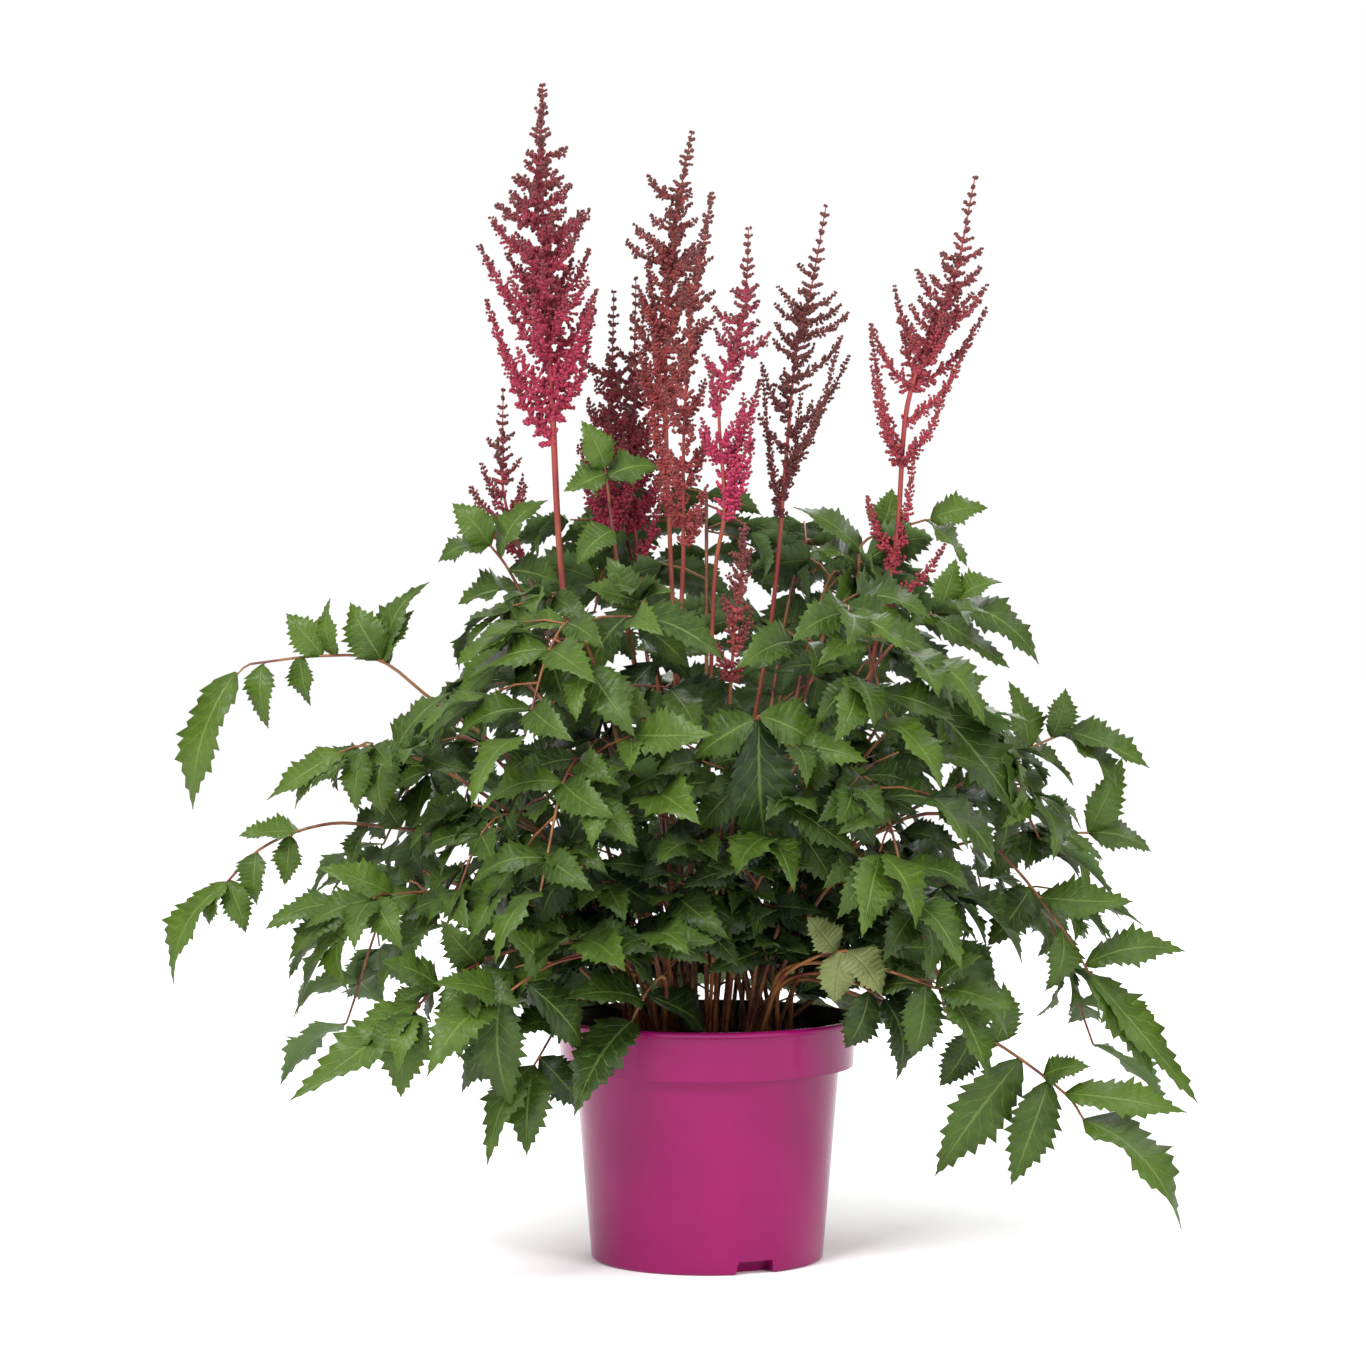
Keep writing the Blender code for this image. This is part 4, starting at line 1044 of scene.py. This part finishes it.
def dress_branch(pile, bead, path, twig, spacing, radius, bloom_at, rng, rise, loose):
    """Set a branch with pairs of spikelets, each a short row of florets that points up and out."""
    length = sum((b - a).length for a, b in zip(path, path[1:]))
    stations = max(3, int(length / (spacing * MM)))
    for station in range(stations + 1):
        share = station / stations
        spot, ahead = along_path(path, share)
        side = ahead.cross(Vector((0.3, 1.0, 0.2))).normalized()
        reach = (twig * max(0.0, 1 - share) ** NARROWING * rng.uniform(*TWIG_LENGTHS) + radius) * MM
        for hand in (0.0, math.pi * rng.uniform(0.8, 1.2)):
            swing = Matrix.Rotation(GOLDEN_ANGLE * station + hand, 3, ahead)
            outward = (swing @ side + ahead * rng.uniform(*rise)).normalized()
            shade = rng.uniform(-UNEVEN_TINT, UNEVEN_TINT)
            steps = 1 + int(reach / (FLORET_SPACING * radius * MM))
            for step in range(steps):
                out_share = (step + 0.5) / steps
                size = radius * MM * (1 - TAPER_OUTWARDS * out_share) * (1 - TAPER_UPWARDS * share)
                size *= rng.uniform(*FLORET_SIZES)
                uneven = Vector([rng.uniform(-1, 1) for axis in range(3)])
                centre = spot + outward * (reach * out_share) + uneven * size * loose
                stretch = np.array([rng.uniform(*FLORET_STRETCH) for axis in range(3)])
                tint = (bloom_at(centre.z) - UNOPENED_TIPS * out_share
                        - UNOPENED_END * share ** 3 + shade)
                pile.add(bead * stretch * size + np.array(centre), min(1.0, max(0.0, tint)))


# Where a shoot's foot stands in the crown (mm, and a share of its depth), the steps of its run,
# how much and how fast its stalk tapers, and how its florets open from the tip of the plume down
# to its foot
SHOOT_FOOT = (8, 0.2)
STALK_STEPS = 52
STALK_TAPER = 0.75
TAPER_POWER = 0.7
OPEN_AT_FOOT = 1.3
OPEN_LOSS = 1.15

# How the side branches leave the spire: below their tips by a share of their spread that shrinks up
# the plume, and by this many mm more. Those beside the ones in the table have these lengths and
# rises, and are this many mm longer. Their radii in mm go from foot to tip, and they arch, with
# full-length spikelets only on branches of this length in mm.
BRANCH_DROP = 4
DROP_RANGE = (0.45, 1.8)
DROP_SHRINK = 6
DROP_FROM = 0.4
BRANCH_LENGTHS = (0.6, 1.0)
BRANCH_RISES = (0.8, 1.1)
BRANCH_RISE = (1.6, 1.8)
BRANCH_MORE = 3
BRANCH_RADII = (0.6, 0.25)
BRANCH_STEPS = 7
BRANCH_BULGE = 0.12
BRANCH_SAG = 0.06
FULL_TWIG_LENGTH = 30


def branches_of(path, turn, depth, up_plume, ends, spikes):
    """Feet and tips of the side branches and lesser spikes that the picture shows."""
    branches = []
    least, most = DROP_RANGE
    for tip, spread in ends:
        tip = turn @ tip
        shrunk = most - DROP_SHRINK * (up_plume(tip.z) - DROP_FROM)
        drop = spread * min(most, max(least, shrunk)) + BRANCH_DROP * MM
        branches.append((at_height(path[3:], tip.z - drop), tip))
    for foot_x, foot_y, tip_x, tip_y in spikes:
        foot = turn @ picture_point(foot_x, foot_y, depth)
        tip = turn @ picture_point(tip_x, tip_y, depth)
        branches.append((at_height(path[3:], foot.z), tip))
    return branches


def build_shoot(name, depth, stalk_radius, florets_from, habit, points, tips, spikes, skins):
    """One flower shoot: its stalk, the side branches of its plume and their florets."""
    count, spread_share, spire_twig, branch_twig, floret, openness = habit
    first = picture_point(*points[0], depth)
    foot = crown_foot(SHOOT_FOOT[0] + abs(depth) * SHOOT_FOOT[1], math.atan2(depth, first.x / MM))
    nodes = [foot] + [picture_point(x, y, depth) for x, y in points]
    ends = swung_tips(stalk_path(nodes, SHOOT_SAMPLES), depth, tips)
    turn = turn_in_frame(name, [tip for tip, spread in ends])
    rng = random.Random(name)
    path = [turn @ place for place in stalk_path(nodes, STALK_STEPS)]
    start = picture_point(0, florets_from, depth).z
    top = path[-1].z
    girth = stalk_radius * STALK_SLIMNESS

    def up_plume(height):
        return max(0.0, (height - start) / (top - start))

    def bloom_at(height):
        return openness * (OPEN_AT_FOOT - OPEN_LOSS * up_plume(height))

    runs = [[(place, girth * (1 - STALK_TAPER * up_plume(place.z) ** TAPER_POWER))
             for place in path]]
    branches = branches_of(path, turn, depth, up_plume, ends, spikes)
    axis = [place for place in path if place.z > start]
    widest = max(spread for tip, spread in ends)
    for index in range(count):
        share = BARE_SPIRE_FROM * (index + 0.5) / count
        root = axis[int(share * (len(axis) - 1))]
        angle = GOLDEN_ANGLE * index + 1.0
        reach = widest * spread_share * (1 - share) ** NARROWING
        reach = reach * rng.uniform(*BRANCH_LENGTHS) + BRANCH_MORE * MM
        rise = rng.uniform(*BRANCH_RISES) * (BRANCH_RISE[0] - BRANCH_RISE[1] * share)
        branches.append((root, root + Vector((math.cos(angle), math.sin(angle), rise)) * reach))
    bead, faces = pattern_of(bmesh.ops.create_icosphere, subdivisions=1, radius=1.0)
    pile = Pile(faces)
    thick, thin = BRANCH_RADII
    for root, tip in branches:
        level = Vector((tip.x - root.x, tip.y - root.y, 0))
        middle = root.lerp(tip, 0.5) + level * BRANCH_BULGE
        middle.z -= BRANCH_SAG * (tip - root).length
        run = smooth_path([root, middle, tip], BRANCH_STEPS)
        shrink = (thick - thin) / (BRANCH_STEPS - 1)
        runs.append([(place, thick - shrink * i) for i, place in enumerate(run)])
        twig = branch_twig * min(1.0, (tip - root).length / (FULL_TWIG_LENGTH * MM))
        dress_branch(pile, bead, run, twig, TWIG_SPACING, floret, bloom_at, rng, (0.4, 0.8), 0.5)
    spire = axis[int(len(axis) * DRESSED_SPIRE_FROM):]
    dress_branch(pile, bead, spire, spire_twig, SPIRE_SPACING, floret * SPIRE_PLUMPNESS, bloom_at,
                 rng, (0.3, 0.7), 0.25)
    dressing, bark = skins
    florets = add_object(name + "_looks", pile.mesh(name + "_looks"), dressing)
    return joined(florets, add_object(name + "_stalks", tubes(runs), bark))


def turned_shape(work, outline, steps):
    """Turn an outline of (radius, height) in mm about the Z axis into a closed skin."""
    ring = [work.verts.new((r * MM, 0, z * MM)) for r, z in outline]
    edges = [work.edges.new(pair) for pair in zip(ring, ring[1:])]
    bmesh.ops.spin(work, geom=ring + edges, cent=(0, 0, 0), axis=(0, 0, 1), dvec=(0, 0, 0),
                   angle=math.tau, steps=steps, use_merge=True)
    bmesh.ops.remove_doubles(work, verts=work.verts, dist=0.01 * MM)
    bmesh.ops.recalc_face_normals(work, faces=work.faces)


def mesh_of(work, name):
    """The mesh of a bmesh, which goes."""
    mesh = bpy.data.meshes.new(name)
    work.to_mesh(mesh)
    work.free()
    return mesh


POT_OUTLINE = (
    (0.0, 0.0), (70.8, 0.0), (72.0, 1.2), (82.0, 117.0), (82.6, 119.0), (91.0, 120.0),
    (92.0, 146.0), (95.0, 147.0), (95.0, 149.0), (94.0, 150.0), (91.2, 150.0), (90.2, 149.0),
    (89.2, 121.8), (80.2, 120.6), (80.2, 117.0), (70.2, 1.8), (0.0, 1.8),
)
POT_STEPS = 160
SOFT_EDGES_FROM = math.radians(25)
SHARP_FROM = math.radians(40)

# Each drainage notch: how far from the axis it reaches, its width at foot and top, its height, and
# the walls and ceiling that close it off from the compost
NOTCH_REACH = (60.0, 82.0)
NOTCH_WIDTHS = (29.0, 22.6)
NOTCH_HEIGHT = 8.0
NOTCH_WALL = 1.4
RECESS_END = 69.4
NOTCH_ANGLES = (-66, 54, 174)


def notch_blocks(name, near, far, foot, wall):
    """One block for each notch, from near to far of the axis, with walls of this thickness."""
    work = bmesh.new()
    for angle in NOTCH_ANGLES:
        corners = bmesh.ops.create_cube(work, size=1.0)["verts"]
        for corner in corners:
            upper = corner.co.z > 0
            width = NOTCH_WIDTHS[upper] / 2 + wall
            corner.co = Vector((far if corner.co.x > 0 else near, math.copysign(width, corner.co.y),
                                NOTCH_HEIGHT + wall if upper else foot)) * MM
        turn = Matrix.Rotation(math.radians(angle), 4, "Z")
        bmesh.ops.transform(work, matrix=turn, verts=corners)
    return add_object(name, mesh_of(work, name))


def faces_axis(face):
    """Whether a face of the pot looks inwards, above the notches."""
    middle, normal = face.center, face.normal
    inwards = -(normal.x * middle.x + normal.y * middle.y)
    above = middle.z > 2 * NOTCH_HEIGHT * MM
    return above and inwards > 0.3 * math.hypot(middle.x, middle.y)


class ASTILBE_OT_pot(bpy.types.Operator):
    """Build the moulded pot with its lip, collar, tapered body and drainage notches"""
    bl_idname = "astilbe.pot"
    bl_label = "Pot"

    def execute(self, context):
        settings = context.scene.astilbe_pot
        work = bmesh.new()
        turned_shape(work, POT_OUTLINE, POT_STEPS)
        shell = add_object("pot_shell", mesh_of(work, "pot_shell"))
        low, high = NOTCH_REACH
        walls = notch_blocks("notch_walls", low - NOTCH_WALL, RECESS_END, 0.0, NOTCH_WALL)
        space = notch_blocks("notches", low, high, -NOTCH_HEIGHT, 0.0)
        for step, operation, tool in (("walls", "UNION", walls), ("notches", "DIFFERENCE", space)):
            change = shell.modifiers.new(step, "BOOLEAN")
            change.operation = operation
            change.object = tool
        soft = shell.modifiers.new("soft edges", "BEVEL")
        soft.width = settings.soft_edge
        soft.segments = 2
        soft.limit_method = "ANGLE"
        soft.angle_limit = SOFT_EDGES_FROM
        mesh = baked(shell)
        for tool in (walls, space):
            bpy.data.objects.remove(tool, do_unlink=True)
        mesh.shade_smooth()
        mesh.set_sharp_from_angle(angle=SHARP_FROM)
        colour, lining = colours_of(settings, "colour", "lining")
        plastic = moulded_plastic("moulded_polypropylene", colour, settings.roughness)
        inner = moulded_plastic("dark_inner_layer", lining, settings.roughness)
        for face in mesh.polygons:
            face.material_index = int(faces_axis(face))
        declare(add_object("pot_looks", mesh, plastic, inner), "pot_plastic", "pot")
        return {"FINISHED"}


ROOT_BALL_SIDE = ((88.0, 126.0), (79.2, 117.0), (70.0, 10.0), (59.2, 8.0), (58.2, 2.1), (0.0, 2.1))
ROOT_BALL_STEPS = 96
SURFACE_RADIUS = 86.5
SURFACE_RINGS = 30
# The surface above this height (mm) is roughened by lumps (how many to a metre, and mm deep), and
# then sinks by a little
ROUGH_ABOVE = 130
LUMPS = ((160, 1.6), (420, 1.3))
LUMP_SINK = 0.8

CRUMB_RADIUS = 86.0
CRUMB_SIZES = (0.7, 0.9, 1.2, 1.6, 2.4)
CRUMB_STRETCH = ((0.7, 1.9), (0.6, 1.2), (0.4, 0.9))
CRUMB_KNOBS = np.array([5.0, 7.0, 9.0])

# The fine roots: how many, where they lie (mm from the axis, and above the compost), how thick they
# are, how long their steps are and how many, and how they turn (radians) and climb (mm)
ROOTS = 34
ROOT_PLACE = (55, 82)
ROOT_LIFT = 0.4
ROOT_RADIUS = 0.22
ROOT_STRIDE = (2, 5)
ROOT_BENDS = 5
ROOT_TURN = 0.7
ROOT_CLIMB = (-0.4, 1.2)


def on_surface(radius, angle, lift=0.0):
    """A place on the compost, or this far above it, in millimetres."""
    return radius * math.cos(angle), radius * math.sin(angle), soil_height(radius) + lift


def scattered_crumbs(count, rng):
    """The mesh of the loose crumbs on the compost."""
    bead, faces = pattern_of(bmesh.ops.create_icosphere, subdivisions=1, radius=1.0)
    pile = Pile(faces)
    for index in range(count):
        radius = CRUMB_RADIUS * math.sqrt(rng.random())
        angle = rng.uniform(0, math.tau)
        size = rng.choice(CRUMB_SIZES) * MM
        stretch = np.array([rng.uniform(*limits) for limits in CRUMB_STRETCH])
        knobs = 1 + 0.25 * np.sin(bead @ CRUMB_KNOBS + index)
        spin = np.array(Matrix.Rotation(rng.uniform(0, math.tau), 3, "Z"))
        crumb = (bead * knobs[:, None] * stretch * size) @ spin
        pile.add(crumb + np.array(on_surface(radius, angle)) * MM, rng.random())
    return pile.mesh("compost_crumbs")


def root_runs(rng):
    """The runs of the fine roots that show on the compost."""
    runs = []
    for index in range(ROOTS):
        angle = rng.gauss(-0.35, 1.2)
        run = [Vector(on_surface(rng.uniform(*ROOT_PLACE), angle, ROOT_LIFT)) * MM]
        heading = rng.uniform(0, math.tau)
        step = Vector((math.cos(heading), math.sin(heading), 0)) * rng.uniform(*ROOT_STRIDE) * MM
        for bend in range(ROOT_BENDS):
            step = Matrix.Rotation(rng.uniform(-ROOT_TURN, ROOT_TURN), 3, "Z") @ step
            onward = run[-1] + step + Vector((0, 0, rng.uniform(*ROOT_CLIMB) * MM))
            if math.hypot(onward.x, onward.y) < CRUMB_RADIUS * MM:
                run.append(onward)
        if len(run) > 2:
            runs.append([(place, ROOT_RADIUS) for place in run])
    return runs


class ASTILBE_OT_compost(bpy.types.Operator):
    """Build the root ball, the loose crumbs on it and a few fine roots"""
    bl_idname = "astilbe.compost"
    bl_label = "Compost"

    def execute(self, context):
        settings = context.scene.astilbe_compost
        moist, fibre, root = colours_of(settings, "moist", "fibre", "root")
        earth = moist_compost(moist, fibre)
        surface = [(r, soil_height(r)) for r in np.linspace(0.0, SURFACE_RADIUS, SURFACE_RINGS)]
        work = bmesh.new()
        turned_shape(work, (*surface, *ROOT_BALL_SIDE), ROOT_BALL_STEPS)
        for vertex in work.verts:
            if vertex.co.z > ROUGH_ABOVE * MM:
                rough = sum(noise.noise(vertex.co * rate) * depth for rate, depth in LUMPS)
                vertex.co.z += (rough - LUMP_SINK) * MM
        mesh = mesh_of(work, "root_ball_looks")
        mesh.shade_smooth()
        declare(add_object("root_ball_looks", mesh, earth), "compost", "root_ball")
        rng = random.Random("crumbs")
        crumbs = scattered_crumbs(settings.crumbs, rng)
        declare(add_object("compost_crumbs", crumbs, earth), "compost")
        roots = tubes(root_runs(rng))
        declare(add_object("fine_roots", roots, fine_root(root)), "compost")
        return {"FINISHED"}


# How far the leaves that the picture shows turn to the viewer, and the sizes in mm of the extra
# leaflets on those leaves and on the others, which have more of them
SEEN_TOWARDS_VIEWER = 0.6
SEEN_SIZES = (36, 58)
HIDDEN_SIZES = (42, 66)
MORE_HIDDEN_TRIOS = 1


class ASTILBE_OT_leaves(bpy.types.Operator):
    """Build every compound leaf, in the place that its CAD node holds"""
    bl_idname = "astilbe.leaves"
    bl_label = "Leaves"

    def execute(self, context):
        settings = context.scene.astilbe_leaves
        deep, fresh, vein, under, aged, low, high = colours_of(
            settings, "deep", "fresh", "vein", "under", "aged", "stalk_low", "stalk_high")
        # The darker tones of the undersides and the yellowed leaf stand for older leaflets and for
        # the painted shade deep inside the foliage
        shade, tan = darker(under, 0.6), darker(aged, 0.75)
        stalk_bark = leaf_stalk(low, high)
        green = (leaf_side("leaf_upper_side", deep, fresh, vein, 0.42, 0.55),
                 leaf_side("leaf_underside", shade, under, vein, 0.6, 0.7), stalk_bark)
        yellowed = (leaf_side("yellowed_upper_side", tan, aged, vein, 0.5, 0.5),
                    leaf_side("yellowed_underside", tan, under, vein, 0.6, 0.6), stalk_bark)
        for name, radius, depth, points, rows in SEEN_LEAVES:
            skins, slot = green, "leaf_green"
            if name == "leaf_yellowed":
                skins, slot = yellowed, "leaf_yellowed"
            trios = BARE_LEAVES.get(name, settings.trios)
            declare(build_leaf(name, *seen_leaf(radius, depth, points, rows), SEEN_TOWARDS_VIEWER,
                               trios, SEEN_SIZES, skins, settings), slot, name)
        for name, *layout in HIDDEN_LEAVES:
            trios = settings.trios + MORE_HIDDEN_TRIOS
            declare(build_leaf(name, *hidden_leaf(*layout), 0.0, trios, HIDDEN_SIZES, green,
                               settings), "leaf_green", name)
        return {"FINISHED"}


class ASTILBE_OT_plumes(bpy.types.Operator):
    """Build every flower shoot with its plume of florets, in the place that its CAD node holds"""
    bl_idname = "astilbe.plumes"
    bl_label = "Plumes"

    def execute(self, context):
        settings = context.scene.astilbe_plumes
        red, tan, bud = colours_of(settings, "stalk", "stalk_foot", "bud")
        bark = flower_stalk(darker(red, 0.6), tan, red)
        for name, colour, *layout in SHOOTS:
            finish = "papery_petals_" + colour
            dressing = once(finish, floret_skin, finish, *colours_of(settings, colour), bud)
            declare(build_shoot(name, *layout, (dressing, bark)), "florets_" + colour, name)
        return {"FINISHED"}


# Lamps: name, place and size in metres, and power in watts
LAMPS = (
    ("key_lamp", (-1.3, -2.1, 2.4), 1.3, 100.0),
    ("side_lamp", (1.9, -2.3, 1.4), 1.0, 34.0),
    ("back_lamp", (0.6, 2.4, 2.2), 1.6, 36.0),
)
LAMP_AIM = (0, 0, 0.3)
# Dark boards beside the object, out of the camera's sight, that give the gloss its darker bands:
# name, place and width in metres
BOARDS = (("left_board", (-1.7, 0.6), 1.1), ("right_board", (1.7, -0.1), 1.2))
BOARD_HEIGHT = 1.3
CAMERA_PLACE = (VIEW_X * MM, -VIEW_DISTANCE * MM, VIEW_Z * MM)
CAMERA_AIM_HEIGHT = (VIEW_Z - (PICTURE_SIZE / 2 - PICTURE_CENTRE[1]) * PICTURE_SCALE) * MM
SENSOR_WIDTH = 36.0
FLOOR_DROP = 0.2 * MM
FLOOR_SIZE = 20.0


def aimed(place, target):
    """The turn that points a lamp or camera at a target."""
    return (Vector(target) - Vector(place)).to_track_quat("-Z", "Y").to_euler()


def sheet(name, width, height, turn, place, material):
    """A flat stage piece, turned and put in its place."""
    work = bmesh.new()
    bmesh.ops.create_grid(work, x_segments=1, y_segments=1, size=0.5)
    bmesh.ops.scale(work, verts=work.verts, vec=(width, height, 1.0))
    bmesh.ops.rotate(work, verts=work.verts, matrix=turn)
    bmesh.ops.translate(work, verts=work.verts, vec=place)
    made = add_object(name, mesh_of(work, name), material)
    return made


def add_board(name, x, y, width):
    """A dark board on edge that faces the object. It shows only in the gloss."""
    turn = Matrix.Rotation(math.atan2(y, x) + math.pi / 2, 3, "Z") @ Matrix.Rotation(
        math.pi / 2, 3, "X")
    board = sheet(name, width, BOARD_HEIGHT, turn, (x, y, BOARD_HEIGHT / 2),
                  once("black_card", black_card))
    board.visible_camera = False
    board.visible_diffuse = False
    board.visible_shadow = False


def add_lamp(name, place, size, power):
    """A soft square lamp that points at the plant."""
    light = bpy.data.lights.new(name, "AREA")
    light.size = size
    light.energy = power
    lamp = linked(name, light)
    lamp.location = place
    lamp.rotation_euler = aimed(place, LAMP_AIM)
    lamp.visible_camera = False


def white_room(strength):
    """A world that is evenly white all round."""
    world = bpy.data.worlds.new("white_room")
    world.use_nodes = True
    back = world.node_tree.nodes["Background"]
    back.inputs["Color"].default_value = (1.0, 1.0, 1.0, 1.0)
    back.inputs["Strength"].default_value = strength
    return world


def photograph_camera():
    """The camera, at the photograph's viewing angle."""
    data = bpy.data.cameras.new("camera")
    data.sensor_width = SENSOR_WIDTH
    data.lens = SENSOR_WIDTH * VIEW_DISTANCE / (PICTURE_SIZE * PICTURE_SCALE)
    camera = linked("camera", data)
    camera.location = CAMERA_PLACE
    camera.rotation_euler = aimed(CAMERA_PLACE, (VIEW_X * MM, 0, CAMERA_AIM_HEIGHT))
    return camera


class ASTILBE_OT_stage(bpy.types.Operator):
    """Set up the floor, the soft lamps, the white surroundings and the camera"""
    bl_idname = "astilbe.stage"
    bl_label = "Stage"

    def execute(self, context):
        scene = context.scene
        settings = scene.astilbe_stage
        board = painted_board(*colours_of(settings, "floor"))
        sheet("floor", FLOOR_SIZE, FLOOR_SIZE, Matrix.Identity(3), (0, 0, -FLOOR_DROP), board)
        for name, (x, y), width in BOARDS:
            add_board(name, x, y, width)
        for name, place, size, power in LAMPS:
            add_lamp(name, place, size, power * settings.lamps)
        scene.world = white_room(settings.sky)
        scene.camera = photograph_camera()
        scene.view_settings.view_transform = "Standard"
        return {"FINISHED"}


OPERATORS = (ASTILBE_OT_pot, ASTILBE_OT_compost, ASTILBE_OT_leaves, ASTILBE_OT_plumes,
             ASTILBE_OT_stage)
SETTINGS = {
    "astilbe_pot": PotSettings,
    "astilbe_compost": CompostSettings,
    "astilbe_leaves": LeafSettings,
    "astilbe_plumes": PlumeSettings,
    "astilbe_stage": StageSettings,
}


class ASTILBE_PT_panel(bpy.types.Panel):
    """Lists the settings and the steps"""
    bl_idname = "ASTILBE_PT_panel"
    bl_label = "Potted astilbe"
    bl_space_type = "VIEW_3D"
    bl_region_type = "UI"
    bl_category = "Astilbe"

    def draw(self, context):
        for step, group in zip(OPERATORS, SETTINGS):
            box = self.layout.box()
            box.operator(step.bl_idname)
            settings = getattr(context.scene, group)
            for item in settings.__annotations__:
                box.prop(settings, item)


def register():
    for group, kind in SETTINGS.items():
        bpy.utils.register_class(kind)
        setattr(bpy.types.Scene, group, PointerProperty(type=kind))
    for kind in (*OPERATORS, ASTILBE_PT_panel):
        bpy.utils.register_class(kind)


def unregister():
    for kind in (ASTILBE_PT_panel, *reversed(OPERATORS)):
        bpy.utils.unregister_class(kind)
    for group, kind in SETTINGS.items():
        delattr(bpy.types.Scene, group)
        bpy.utils.unregister_class(kind)


def main():
    register()
    bpy.ops.astilbe.pot()
    bpy.ops.astilbe.compost()
    bpy.ops.astilbe.leaves()
    bpy.ops.astilbe.plumes()
    bpy.ops.astilbe.stage()


if __name__ == "__main__":
    main()
